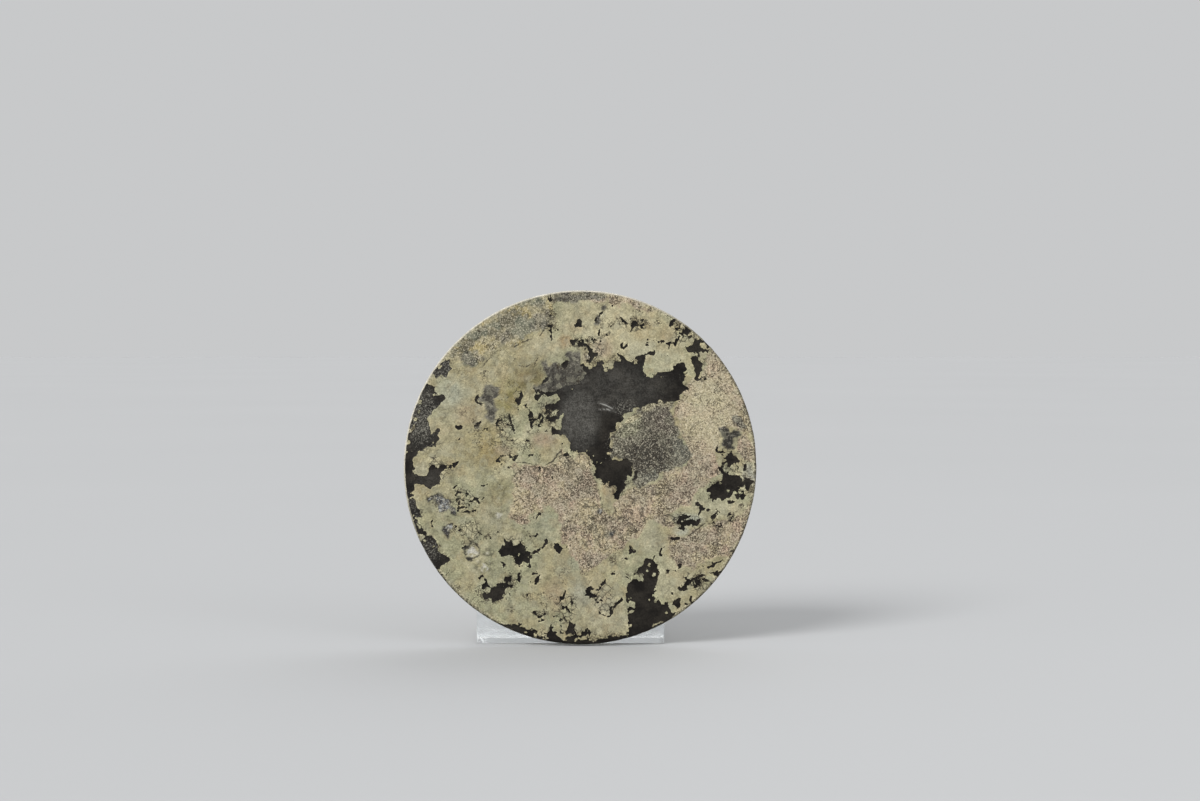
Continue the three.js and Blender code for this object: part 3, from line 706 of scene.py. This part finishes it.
palette = {
    "crust": (0.33, 0.294, 0.175),
    "crustGreen": (0.315, 0.304, 0.190),
    "crustCream": (0.46, 0.415, 0.262),
    "crustRust": (0.34, 0.262, 0.145),
    "crustGrey": (0.265, 0.262, 0.19),
    "olive": (0.21, 0.185, 0.09),
    "grain": (0.37, 0.30, 0.20),
    "grainPink": (0.42, 0.31, 0.225),
    "grainBuff": (0.42, 0.35, 0.215),
    "grainGrey": (0.26, 0.225, 0.165),
    "island": (0.135, 0.128, 0.095),
    "islandPale": (0.24, 0.235, 0.155),
    "islandBrown": (0.120, 0.100, 0.082),
    "islandBlue": (0.132, 0.134, 0.108),
    "islandDark": (0.040, 0.037, 0.031),
    "thinGrey": (0.170, 0.158, 0.125),
    "thinDark": (0.060, 0.056, 0.046),
    "murkBrown": (0.135, 0.122, 0.080),
    "murkBeige": (0.34, 0.30, 0.185),
    "murkGreen": (0.150, 0.155, 0.112),
    "murkYellow": (0.36, 0.29, 0.13),
    # a painted highlight along the rim's upper left edge
    "paintedRimHighlight": (0.64, 0.60, 0.51),
    "chalk": (0.55, 0.53, 0.46),
    "ringDark": (0.035, 0.033, 0.028),
    "crystal": (0.050, 0.053, 0.056),
    "crystalPale": (0.30, 0.31, 0.30),
    "backCrust": (0.29, 0.29, 0.19),
    "backDirt": (0.15, 0.13, 0.09),
}


def bareMetal(u, v, x, z):
    # how deep into bare metal each point lies, in millimetres, with the crust's round lobes along its edge
    radius = mirror["radius"]
    wideU, wideV = wander(u, 0.03, x, z, 6, 11), wander(v, 0.03, x, z, 6, 21)
    patches = radius * deepest(insideOutline, wideU, wideV, bareOutlines)
    bentU, bentV = wander(wideU, 0.034, x, z, 3, 12, 2), wander(wideV, 0.034, x, z, 3, 22, 2)
    streaks = radius * deepest(alongStroke, bentU, bentV, bareStrokes + [[spot] for spot in bareSpots])
    lobes, smaller, crumbs = cells(x, z, 3.9, 31)[0], cells(x, z, 2.3, 32)[0], billow(x, z, 1.7, 33, 2)
    patches += 3.4 * (lobes - 0.5) + 1.6 * (smaller - 0.5) + 0.9 * (crumbs - 0.5) + 0.30
    streaks += (smaller - 0.5) + 0.7 * (crumbs - 0.5) - 0.05
    near, second, _ = cells(wander(x, 3, x, z, 4, 41, 2), wander(z, 3, x, z, 4, 42, 2), 2.9, 43)
    craze = strongest(u, v, crazedSpots)
    gaps = 4.2 * (0.09 - (second - near)) + 4.0 * (billow(x, z, 2.6, 44, 3) - 0.5) - 0.35 - 1.8 * (1 - craze)
    bare = np.maximum.reduce([patches, streaks, gaps])
    for dotU, dotV, dotRadius in crustDots:
        bare = np.minimum(bare, radius * (np.hypot(u - dotU, v - dotV) - dotRadius) - 0.05)
    return bare


def faceFields(x, y, z):
    radius = mirror["radius"]
    u, v = x / radius, z / radius
    reach = np.hypot(u, v)
    turnIn = 0.965  # from here the pattern is stretched, to carry it over the edge
    squeeze = np.where(reach > turnIn, (turnIn + 0.3 * (reach - turnIn)) / np.maximum(reach, 0.5), 1)
    u, v = u * squeeze, v * squeeze
    ragged = 5.0 * (billow(x, z, 5.0, 51, 5) - 0.5)
    fine, patchy, blotch = billow(x, z, 2.0, 52, 3), billow(x, z, 4.5, 53), billow(x, z, 7, 54)
    lobes = cells(x, z, 3.2, 55)[0] - 0.5

    # the zones, each 1 inside and 0 outside
    grain = blendStep(radius * deepest(insideOutline, u, v, grainZones) + 1.3 * ragged + lobes, -0.5, 0.5)
    island = blendStep(radius * insideOutline(u, v, islandOutline) + 1.3 * ragged + 1.5 * lobes, -0.3, 0.4)
    murk = blendStep(radius * insideOutline(u, v, murkOutline) + 1.5 * ragged, -0.8, 0.8)
    thin = radius * deepest(insideOutline, u, v, thinOutlines) + 1.3 * ragged + 1.8 * lobes
    # painted shade: a band of bare dark metal along the bottom edge, where the rim turns under and away from
    # the light
    paintedShadeUnderside = radius * (reach - 0.980) - 4 * (1 - blendStep(-v, 0.74, 0.94))
    bare = np.maximum(bareMetal(u, v, x, z), paintedShadeUnderside + 0.9 * ragged + 2.2 * lobes)
    bare = np.minimum(bare, 0.5 - thin)
    thin = blendStep(thin, -0.3, 0.5)
    crystals = radius * deepest(alongStroke, u, v, crystalStrokes) + ragged + 3 * (fine - 0.5)
    crystalRim = 1 - blendStep(np.abs(crystals), 0.2, 0.9)
    crystals = blendStep(crystals, -0.3, 0.6)
    seam = radius * deepest(alongStroke, u, v, seams) + 0.5 * (cells(x, z, 1.2, 56)[0] - 0.4)
    # painted sheen: a grey painted reflection on the bare metal, with painted glints along two scratches
    polishAndPaintedSheen = strongest(u, v, polishAndPaintedSheenSpots)
    polishAndPaintedSheen += 2 * blendStep(radius * deepest(alongStroke, u, v, scratchGlints), -0.35, 0.25)

    # lapping lobes of crust, each its own shade, darker where they meet
    near, second, number = cells(x + 3 * (patchy - 0.5), wander(z, 3, x, z, 4, 57, 2), 5.0, 58)
    tint = paint(np.tile(palette["crust"], (len(u), 1)),
                 ("crustGreen", blotches(x, z, 20, 61, 0.45, 0.62)),
                 ("crustCream", 0.6 * blendStep(blotch, 0.52, 0.68)))
    for centre, size, colour, strength in crustStains:
        tint = tintTowards(tint, colour, strength * softSpot(u, v, centre, size) * (0.4 + 1.2 * patchy))
    tint = paint(tint, ("crustRust", 0.30 * blotches(x, z, 5, 66, 0.54, 0.70)),
                 ("crustGrey", 0.30 * blotches(x, z, 4, 67, 0.54, 0.70)))
    tint *= (0.94 + 0.12 * number + 0.06 * (1 - 2 * near) + 0.3 * (billow(x, z, 3, 68) - 0.5))[:, None]
    join = blendStep(second - near, 0.16, 0.02) * blotches(x, z, 7, 62, 0.46, 0.60)
    tint *= (1 - 0.28 * join)[:, None]

    # the eroded grains, and the mottled zone at the upper left
    greyer = billow(x, z, 8, 63) - 0.3 * softSpot(u, v, (0.72, 0.35), (0.30, 0.35))
    tint = paint(tint, ("grain", grain), ("grainBuff", grain * blendStep(blotch, 0.46, 0.60)),
                 ("grainPink", 0.7 * grain * blotches(x, z, 6, 69, 0.50, 0.64)),
                 ("grainGrey", 0.55 * grain * blendStep(greyer, 0.48, 0.62)),
                 ("crustCream", 0.6 * grain * softSpot(u, v, (0.72, 0.32), (0.24, 0.34))),
                 ("murkBeige", murk), ("murkYellow", 0.8 * murk * blotches(x, z, 6, 64, 0.50, 0.62)),
                 ("murkBrown", murk * blendStep(patchy, 0.50, 0.58)),
                 ("murkGreen", 0.85 * murk * blotches(x, z, 5.5, 75, 0.53, 0.62, 3)))

    # the island, with crust left along its upper edge
    paler = softSpot(u, v, (0.25, 0.24), (0.13, 0.12)) + softSpot(u, v, (0.46, 0.36), (0.10, 0.05)) + patchy
    bluer = strongest(u, v, [((0.56, 0.09), (0.10, 0.12)), ((0.40, -0.03), (0.12, 0.10))])
    darker = softSpot(u, v, (0.37, 0.06), (0.17, 0.13)) + patchy
    tint = paint(tint, ("island", island), ("islandPale", island * blendStep(paler, 0.80, 1.10)))
    for streak in islandCrusts:
        crusted = radius * alongStroke(u, v, streak) + 0.8 * ragged + 0.8 * lobes
        tint = paint(tint, ("crustCream", blendStep(crusted, -0.4, 0.6) * island))
    tint = paint(tint, ("islandBrown", 0.8 * island * softSpot(u, v, (0.46, 0.27), (0.13, 0.14))),
                 ("islandBlue", 0.9 * island * bluer),
                 ("islandDark", 0.9 * island * blendStep(darker, 0.58, 0.84)))

    # grey metal through thin crust, and crystals
    brushed = blendStep(billow(x + 2 * patchy, 3.5 * z + x, 5, 59, 4), 0.42, 0.60)
    # a darker patch in the thin crust at one spot
    darkerPatch = softSpot(u, v, (-0.52, 0.28), (0.10, 0.09)) * blendStep(fine, 0.38, 0.56)
    blackened = softSpot(u, v, (0.85, 0.17), (0.13, 0.12)) + 2.4 * (fine - 0.5)
    tint = paint(tint, ("thinGrey", thin * (1 - 0.4 * murk)),
                 ("thinDark", 0.85 * thin * (1 - 0.5 * murk) * brushed),
                 ("thinDark", 0.8 * thin * softSpot(u, v, (-0.08, 0.49), (0.24, 0.15))),
                 ("thinDark", 0.8 * thin * darkerPatch),
                 ("ringDark", thin * blendStep(blackened, 0.45, 0.65)),
                 ("crystal", crystals), ("crystalPale", crystals * blotches(x, z, 1.7, 73, 0.55, 0.68, 2)),
                 ("ringDark", 0.9 * crystalRim * blendStep(patchy, 0.42, 0.54)))

    # the edge: a painted highlight where it faces upwards to the left, toward the light, and painted shade on
    # the rest of the edge, below and to the right
    edgeBand = blendStep(reach, 0.962, 0.985)
    facingLight = blendStep(np.cos(np.arctan2(v, u) - math.radians(125)), -0.1, 0.7)
    rim = blendStep(reach, 0.988, 0.993) * (1 - blendStep(y, 0.7, 1.3))
    paintedHighlight = rim * facingLight
    tint = paint(tint, ("crustCream", 0.6 * edgeBand * blendStep(fine, 0.40, 0.60)), ("paintedRimHighlight", paintedHighlight))
    # painted shade: the rim's outer edge darkened where it faces away from the light
    tint *= (1 - 0.7 * blendStep(reach, 0.984, 0.992) * (1 - facingLight))[:, None]
    # no bare metal, specks, cracks or flecks under the painted highlight
    bare = np.where(paintedHighlight > 0.3, -2.0, bare)

    rise, crumbs = np.zeros(u.shape), billow(x, z, 1.8, 74, 2)
    for domeU, domeV, domeRadius, strength in pustules:
        away = radius * (np.hypot(u - domeU, v - domeV) - domeRadius) + 1.2 * ragged + 1.6 * (crumbs - 0.5)
        ring = 1 - blendStep(np.abs(away - 0.3), 0.2, 0.8)
        inside = 1 - blendStep(away, -1.2, 0)
        tint = paint(tint, ("ringDark", strength**6 * ring * blendStep(fine, 0.26, 0.38)),
                     ("chalk", 0.9 * strength * inside * blendStep(crumbs, 0.36, 0.54)))
        rise = np.maximum(rise, 0.10 * strength * (1 - blendStep(away, -2.5, 0.3)))

    # how thickly dark specks, hairline cracks and pale flecks lie
    clean = strongest(u, v, cleanSpots)
    speck = 0.15 + 0.8 * blotches(x, z, 6, 65, 0.52, 0.68) * (1 - clean) + 0.45 * blendStep(bare, -2.5, -0.3)
    speck = speck * (1 - grain) + grain * (0.85 + 0.42 * blendStep(patchy, 0.45, 0.62))
    speck -= 0.35 * grain * softSpot(u, v, (0.72, 0.30), (0.24, 0.34))
    speck = np.maximum.reduce([speck, 1.1 * island, 0.75 * thin, crystals, 0.40 * murk, 0.9 * edgeBand])
    speck *= 1 - paintedHighlight
    crack = 0.75 * strongest(u, v, crazedSpots) + 0.6 * blendStep(bare, -3.5, -0.5) + 0.5 * grain
    crack = crack + 2.4 * (blotch - 0.5) - 0.55 - 0.3 * clean
    crack = np.clip(crack, 0, 1) * (1 - island) * (1 - paintedHighlight)
    onMetal = blendStep(bare, -0.1, 0.1)
    fleck = 0.30 + 0.70 * np.maximum.reduce([grain, island, murk, 0.4 * thin, crystals, edgeBand])
    fleck *= (1 - onMetal) * (1 - paintedHighlight)
    fleck += strongest(u, v, dustSpots) * onMetal

    # how far the surface lies below the casting's own
    solid = 1 - blendStep(bare, -0.3, 0.35)
    wave = relief["waviness"] * billow(x, z, 8, 71, 5)
    granules = cells(x, z, 1.35, 72)[0]
    rough = np.maximum.reduce([grain, island, 0.7 * murk, 0.6 * thin])
    recess = relief["skin"] + 0.1 + wave * solid + relief["bareDepth"] * (1 - solid)
    recess += solid * (0.05 + relief["grainDepth"] * granules) * rough + 0.05 * join * solid * (1 - rough)
    recess += 0.10 * blendStep(seam, -0.3, 0.2) * solid - rise
    recess = recess * (1 - paintedHighlight) + relief["skin"] * paintedHighlight
    return {"bare": bare, "seam": seam, "polishAndPaintedSheen": polishAndPaintedSheen, "tint": tint, "speck": speck, "fleck": fleck,
            "crack": crack, "recess": np.maximum(recess, relief["skin"])}


def backFields(x, y, z):
    # the hidden side is plainer: green crust, dirt in its hollows, rubbed on what stands proud
    s, t = x + 0.8 * y, z + 0.6 * y
    proud = blendStep(y - fieldAt(np.hypot(x, z)), 0.35, 0.8)
    lobes, crumbs = cells(s, t, 4.2, 81)[0], cells(s, t, 1.7, 82)[0]
    bare = 14 * (billow(s, t, 17, 83) - 0.67) + 1.6 * (lobes - 0.5) + 1.0 * (crumbs - 0.5)
    bare -= 3 * (1 - blendStep(np.hypot(x, z), 18, 30))
    grain = blotches(s, t, 16, 87, 0.50, 0.55)
    tint = paint(np.tile(palette["backCrust"], (len(x), 1)),
                 ("crust", blotches(s, t, 13, 84, 0.42, 0.62)),
                 ("olive", 0.7 * blotches(s, t, 6, 85, 0.52, 0.68)), ("grain", 0.6 * grain),
                 ("backDirt", 0.7 * (1 - proud) * blotches(s, t, 9, 86, 0.42, 0.60)))
    tint *= (0.84 + 0.30 * proud)[:, None]
    solid = 1 - blendStep(bare, -0.3, 0.35)
    recess = relief["skin"] + 0.16 * billow(s, t, 5, 88) + 0.16 * (1 - solid)
    recess += relief["backGrain"] * cells(s, t, 1.5, 89)[0] * solid
    even = np.zeros(x.shape)
    # the back's bare metal gets a faint painted sheen, a grey painted reflection
    return {"bare": bare, "seam": even - 5, "polishAndPaintedSheen": even + 0.35, "tint": tint, "speck": 0.35 + 0.5 * grain,
            "fleck": 0.4 + 0.4 * grain, "crack": even + 0.15, "recess": recess}


def storeField(mesh, name, values):
    coloured = values.ndim == 2
    layer = mesh.attributes.new(name, "FLOAT_COLOR" if coloured else "FLOAT", "POINT")
    if coloured:
        values = np.hstack([values, np.ones((len(values), 1))])
    layer.data.foreach_set("color" if coloured else "value", values.astype(np.float32).ravel())


def patinate(mesh):
    # works out the patina at every point, then sinks the surface by it
    count = len(mesh.vertices)
    points, normals = np.empty(count * 3, np.float32), np.empty(count * 3, np.float32)
    mesh.vertices.foreach_get("co", points)
    mesh.vertices.foreach_get("normal", normals)
    points, normals = points.reshape(-1, 3).astype(float), normals.reshape(-1, 3).astype(float)
    x, y, z = points.T
    front, back = faceFields(x, y, z), backFields(x, y, z)
    reach, onSide = np.hypot(x, z), mirror["radius"] - 0.2
    behind = blendStep(y, 1.5, 3.0) * (reach > onSide)
    behind = np.where((y > mirror["faceRound"] + 0.01) & (reach <= onSide), 1, behind)
    fields = {}
    for name in front:
        share = behind[:, None] if front[name].ndim == 2 else behind
        fields[name] = front[name] * (1 - share) + back[name] * share
    facing = np.maximum(0, np.cos(np.arctan2(z, x) - math.radians(mirror["wornDirection"])))
    scale = 1 - mirror["wornDepth"] / mirror["radius"] * facing**4 * (reach / mirror["radius"]) ** 8
    shaped = points * np.stack([scale, np.ones(count), scale], 1)
    lean = np.array(Matrix.Rotation(-math.radians(mirror["lean"]), 3, "X"))
    upright = shaped @ lean.T * metre
    shift = np.array(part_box("mirror_disc")[0]) - upright.min(0)
    sunk = (shaped - normals * fields.pop("recess")[:, None]) @ lean.T * metre + shift
    mesh.vertices.foreach_set("co", sunk.astype(np.float32).ravel())
    for name, values in fields.items():
        storeField(mesh, name, values)
    mesh.update()


# materials


class Wire:
    # an output socket; sums written on it add Math nodes
    def __init__(self, recipe, socket):
        self.recipe, self.socket = recipe, socket

    def math(self, operation, first, second):
        return self.recipe.node("Math", {"operation": operation}, {0: first, 1: second})

    def __add__(self, other):
        return self.math("ADD", self, other)

    def __radd__(self, other):
        return self.math("ADD", other, self)

    def __sub__(self, other):
        return self.math("SUBTRACT", self, other)

    def __rsub__(self, other):
        return self.math("SUBTRACT", other, self)

    def __mul__(self, other):
        return self.math("MULTIPLY", self, other)

    def __rmul__(self, other):
        return self.math("MULTIPLY", other, self)


class Recipe:
    # builds one material, node by node
    def __init__(self, name):
        self.material = bpy.data.materials.new(name)
        self.material.use_nodes = True
        self.tree = self.material.node_tree
        self.tree.nodes.clear()

    def node(self, kind, settings=None, values=None, out=0):
        made = self.tree.nodes.new("ShaderNode" + kind)
        for key, value in (settings or {}).items():
            setattr(made, key, value)
        for key, value in (values or {}).items():
            socket = made.inputs[key]
            if isinstance(value, Wire):
                self.tree.links.new(value.socket, socket)
            else:
                socket.default_value = (*value, 1) if socket.type == "RGBA" else value
        return Wire(self, made.outputs[out]) if made.outputs else made

    def field(self, name, out="Fac"):
        return self.node("Attribute", {"attribute_name": name}, out=out)

    def millimetres(self):
        return self.shade(self.node("TexCoord", out="Object"), 1000)

    def noise(self, place, size, detail=2.0, roughness=0.5, out="Fac"):
        return self.node("TexNoise", {}, {"Vector": place, "Scale": 1 / size, "Detail": detail,
                                          "Roughness": roughness}, out=out)

    def cell(self, place, size, out="Distance", feature="F1"):
        return self.node("TexVoronoi", {"feature": feature}, {"Vector": place, "Scale": 1 / size}, out=out)

    def part(self, colour, number):
        return self.node("SeparateColor", {}, {"Color": colour}, out=number)

    def stretch(self, place, factors):
        return self.node("VectorMath", {"operation": "MULTIPLY"}, {0: place, 1: factors})

    def bump(self, height, strength, distance):
        return self.node("Bump", {}, {"Strength": strength, "Distance": distance, "Height": height})

    def step(self, value, low, high, bottom=0.0, top=1.0):
        return self.node("MapRange", {"interpolation_type": "SMOOTHSTEP"},
                         {"Value": value, "From Min": low, "From Max": high, "To Min": bottom, "To Max": top})

    def mix(self, share, first, second):
        return self.node("Mix", {"data_type": "RGBA"}, {0: share, 6: first, 7: second}, out=2)

    def shade(self, colour, strength):
        return self.node("VectorMath", {"operation": "SCALE"}, {0: colour, "Scale": strength})

    def finish(self, **sockets):
        named = {name.replace("_", " "): value for name, value in sockets.items()}
        shader = self.node("BsdfPrincipled", {}, named)
        self.node("OutputMaterial", {"is_active_output": True}, {"Surface": shader})
        return self.material


patina = {
    "metal": (0.009, 0.0075, 0.006),
    "metalWarm": (0.021, 0.018, 0.014),
    # a painted reflection: the grey that the painted sheen gives bare metal
    "polishAndPaintedSheen": (0.105, 0.100, 0.088),
    "outline": (0.035, 0.030, 0.024),
    "speckDark": (0.048, 0.037, 0.026),
    "fleckPale": (0.60, 0.54, 0.41),
    "scabPale": (0.44, 0.42, 0.30),
    "dust": (0.21, 0.20, 0.165),
    # a painted glint along the scratches
    "scratchGlint": (0.38, 0.37, 0.34),
    # sizes of the patterns in millimetres, from fine to broad
    "fineSize": 0.45,
    "gritSize": 0.7,
    "granuleSize": 0.7,
    "crumbSize": 0.8,
    "flakeSize": 1.2,
    "scabSize": 2.7,
    "clumpSize": 2.8,
    "broadSize": 9,
}


def bronzePatina():
    p = patina
    r = Recipe("bronze patina")
    mm = r.millimetres()
    flakes, crumbs = r.cell(mm, p["flakeSize"]), r.noise(mm, p["crumbSize"], 3, 0.6)
    grit, fine = r.noise(mm, p["gritSize"], 4, 0.7), r.noise(mm, p["fineSize"], 2, 0.6)
    clump, broad = r.noise(mm, p["clumpSize"], 4, 0.65), r.noise(mm, p["broadSize"], 4, 0.6)
    granules, shades = r.cell(mm, p["granuleSize"]), r.part(r.cell(mm, p["granuleSize"], "Color"), 0)
    edge = r.field("bare") + (flakes - 0.5) * 0.8 + (crumbs - 0.5) * 1.4
    metal = r.step(edge, -0.08, 0.08)
    solid = 1 - metal

    # scabs of crust are bent cells, with hairline cracks between them
    bend = r.shade(r.noise(mm, 2.2, 3, 0.6, "Color"), 3.0)
    bent = r.node("VectorMath", {"operation": "ADD"}, {0: mm, 1: bend})
    scab = r.cell(bent, p["scabSize"], "Color")
    scabTone, scabHue = r.part(scab, 0), r.part(scab, 1)
    gap = r.cell(bent, p["scabSize"], feature="DISTANCE_TO_EDGE")
    hair = r.step(gap, 0.10, 0.02) * r.step(r.field("crack") + clump, 0.75, 1.05)

    # crust: its own tint, mottled, with dark specks and pale flecks where they lie thick
    mottle = (grit - 0.5) * 1.4 + (shades - 0.5) * 0.45 + (0.45 - granules) * 0.5 + (fine - 0.5) * 0.7
    crust = r.shade(r.field("tint", "Color"), 1 + mottle * (0.42 + r.field("fleck") * 0.75))
    crust = r.shade(crust, r.step(clump, 0.32, 0.68, 0.93, 1.07))
    crust = r.shade(crust, 0.90 + scabTone * 0.20)
    crust = r.mix(r.step(scabHue, 0.60, 0.90, 0, 0.22) * solid, crust, p["scabPale"])
    flecks = r.step(grit * 0.8 + crumbs * 0.2 + r.field("fleck") * 0.2, 0.71, 0.80)
    crust = r.mix(flecks * 0.45, crust, p["fleckPale"])
    pale = r.step(shades, 0.76, 0.84) * r.step(granules, 0.50, 0.34) * r.step(r.field("fleck"), 0.35, 1.0)
    crust = r.mix(pale * 0.50, crust, p["fleckPale"])
    specks = r.step(grit * 0.5 + fine * 0.5 + clump * 0.08 - r.field("speck") * 0.19, 0.325, 0.255)
    pits = r.step(shades, 0.26, 0.18) * r.step(granules, 0.50, 0.36) * r.step(r.field("speck"), 0.40, 1.1)
    specks = specks + pits * (1 - specks) * 0.85
    crust = r.mix(specks * 0.82, crust, p["speckDark"])
    crust = r.shade(crust, r.step(edge, -1.0, -0.2, 1.0, 1.20))
    crust = r.mix(hair * 0.75, crust, p["outline"])
    crust = r.mix(r.step(r.field("seam") + (crumbs - 0.5) * 0.8, -0.10, 0.15, 0, 0.85), crust, p["outline"])

    # the sheen field makes bare metal smoother and more metallic, and mixes in grey as a painted reflection
    paintedSheenAndPolish = r.field("polishAndPaintedSheen")
    bareColour = r.mix(r.step(broad, 0.40, 0.65), p["metal"], p["metalWarm"])
    bareColour = r.mix(r.step(paintedSheenAndPolish, 0, 1) * r.step(clump, 0.25, 0.70, 0.45, 1.0), bareColour, p["polishAndPaintedSheen"])
    brushed = r.noise(r.stretch(mm, (0.25, 1.0, 1.0)), 1.2, 4, 0.7)
    bareColour = r.shade(bareColour, r.step(brushed, 0.3, 0.7, 0.86, 1.16))
    bareColour = r.shade(bareColour, r.step(grit + fine * 0.4 + broad * 0.4, 0.65, 1.15, 0.60, 1.45))
    bareColour = r.mix(flecks, bareColour, p["dust"])
    # painted glints along the scratches
    bareColour = r.mix(r.step(paintedSheenAndPolish, 1.3, 2.3), bareColour, p["scratchGlint"])
    colour = r.mix(metal, crust, bareColour)

    height = solid * 0.28 + grit * 0.24 * solid + clump * 0.22 * solid - (specks * 0.10 + hair * 0.12) * solid
    roughness = solid * 0.34 + r.step(paintedSheenAndPolish * metal, 0, 1, 0.14, 0.0) + r.step(grit, 0.3, 0.7, 0.20, 0.32)
    return r.finish(Base_Color=colour, Roughness=roughness, Metallic=metal * r.step(paintedSheenAndPolish, 0, 1, 0.1, 0.4),
                    Normal=r.bump(height, 0.8, 0.001), Specular_IOR_Level=0.14)


def clearPlastic():
    r = Recipe("clear plastic")
    mm = r.millimetres()
    scuffs = r.noise(r.stretch(mm, (0.12, 1.0, 1.0)), 0.7, 3)
    smudges = r.noise(mm, 14, 3)
    return r.finish(Base_Color=(0.93, 0.965, 0.975), Roughness=r.step(smudges, 0.4, 0.7, 0.01, 0.05),
                    Normal=r.bump(scuffs, 0.06, 0.0005), Transmission_Weight=1.0, IOR=1.4, Alpha=0.65)


def palePaper():
    r = Recipe("pale paper")
    tone = r.noise(r.millimetres(), 900, 2)
    return r.finish(Base_Color=r.mix(tone, (0.515, 0.52, 0.525), (0.542, 0.547, 0.552)), Roughness=0.85,
                    Specular_IOR_Level=0.0)


def addPiece(name, mesh, material, node=None, smoothAngle=180):
    mesh.name = name
    mesh.materials.clear()
    mesh.materials.append(material)
    mesh.polygons.foreach_set("use_smooth", [True] * len(mesh.polygons))
    mesh.set_sharp_from_angle(angle=math.radians(smoothAngle))
    piece = bpy.data.objects.new(name, mesh)
    bpy.context.scene.collection.objects.link(piece)
    if node:
        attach(piece, "root")
        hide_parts(node)
    return piece


# the mirror

disc = pierceKnob(castMirror())
patinate(disc)
addPiece("mirror_disc_patinated", disc, bronzePatina(), "mirror_disc", 50)
print("mirror cast and patinated:", len(disc.vertices), "points")

# the clear stand

stand = {
    "polishedBevel": 0.3,
    "frontCorner": 0.8,
    "farCorner": 4.0,
    "cornerSegments": 8,
}


def clearPlate(node, along):
    # a cut sheet; along is the way it runs from the glued edge to the far one
    low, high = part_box(node)
    middle, size = (low + high) / 2, high - low
    bm = bmesh.new()
    bmesh.ops.create_cube(bm, size=1, matrix=Matrix.Translation(middle) @ Matrix.Diagonal((*size, 1)))
    thin = 3 - along  # the sheet's own thickness runs along Y or Z, whichever is left after X
    for far, corner in ((True, stand["farCorner"]), (False, stand["frontCorner"])):
        corners = [edge for edge in bm.edges if edge.calc_length() < 1.01 * size[thin]
                   and (edge.verts[0].co[along] > middle[along]) == far]
        bmesh.ops.bevel(bm, geom=corners, offset=corner * metre, segments=stand["cornerSegments"],
                        profile=0.5, affect="EDGES", material=-1)
    rims = [edge for edge in bm.edges if edge.calc_face_angle() > math.radians(60)]
    bmesh.ops.bevel(bm, geom=rims, offset=stand["polishedBevel"] * metre, segments=2, profile=0.5,
                    affect="EDGES", material=-1)
    bmesh.ops.recalc_face_normals(bm, faces=bm.faces)
    return meshFrom(bm, node)


clear = clearPlastic()
addPiece("clear_upright", clearPlate("stand_upright", 2), clear, "stand_upright", 40)
addPiece("clear_foot", clearPlate("stand_foot", 1), clear, "stand_foot", 40)
print("stand glued up")

# floor, light and camera

studio = {
    "floor": 30.0,  # metres across
    "floorDrop": 0.2,  # keeps the floor just clear of the foot's underside
    "worldColour": (0.80, 0.81, 0.82),
    "worldStrength": 0.72,
    "lightAim": 85,
    "cameraAway": 1150,
    "cameraHeight": 147.7,
    "cameraRight": 9.1,
    "cameraPitch": 1.56,
    "lens": 72,
}

bm = bmesh.new()
bmesh.ops.create_grid(bm, x_segments=1, y_segments=1, size=studio["floor"] / 2,
                      matrix=Matrix.Translation((0, 0, -studio["floorDrop"] * metre)))
addPiece("floor", meshFrom(bm, "floor"), palePaper())


def softLight(name, place, size, energy, colour=(1, 1, 1)):
    data = bpy.data.lights.new(name, "AREA")
    data.shape, data.size, data.energy, data.color = "DISK", size, energy, colour
    lamp = bpy.data.objects.new(name, data)
    lamp.location = place
    aim = Vector((0, 0, studio["lightAim"] * metre)) - lamp.location
    lamp.rotation_euler = aim.to_track_quat("-Z", "Y").to_euler()
    bpy.context.scene.collection.objects.link(lamp)


def softSun(name, direction, energy, spread):
    # even over the whole floor, which keeps the horizon quiet
    data = bpy.data.lights.new(name, "SUN")
    data.energy, data.angle = energy, math.radians(spread)
    lamp = bpy.data.objects.new(name, data)
    lamp.rotation_euler = Vector(direction).to_track_quat("-Z", "Y").to_euler()
    bpy.context.scene.collection.objects.link(lamp)


softSun("key", (0.55, 0.75, -0.65), 2.0, 25)
softLight("fill", (1.2, -1.2, 0.9), 0.8, 3, (0.97, 0.98, 1.0))
softSun("behind", (-0.35, -0.80, -0.55), 0.9, 60)

world = bpy.data.worlds.new("studio")
world.use_nodes = True
background = world.node_tree.nodes["Background"]
background.inputs["Color"].default_value = (*studio["worldColour"], 1)
background.inputs["Strength"].default_value = studio["worldStrength"]
bpy.context.scene.world = world
bpy.context.scene.view_settings.view_transform = "Standard"

discLow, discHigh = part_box("mirror_disc")
cameraData = bpy.data.cameras.new("camera")
cameraData.lens, cameraData.sensor_width, cameraData.clip_end = studio["lens"], 36, 50
camera = bpy.data.objects.new("camera", cameraData)
camera.location = (discLow.x + (mirror["radius"] + studio["cameraRight"]) * metre,
                   (discLow.y + discHigh.y) / 2 - studio["cameraAway"] * metre,
                   studio["cameraHeight"] * metre)
camera.rotation_euler = (math.radians(90 - studio["cameraPitch"]), 0, 0)
bpy.context.scene.collection.objects.link(camera)
bpy.context.scene.camera = camera
print("studio ready")
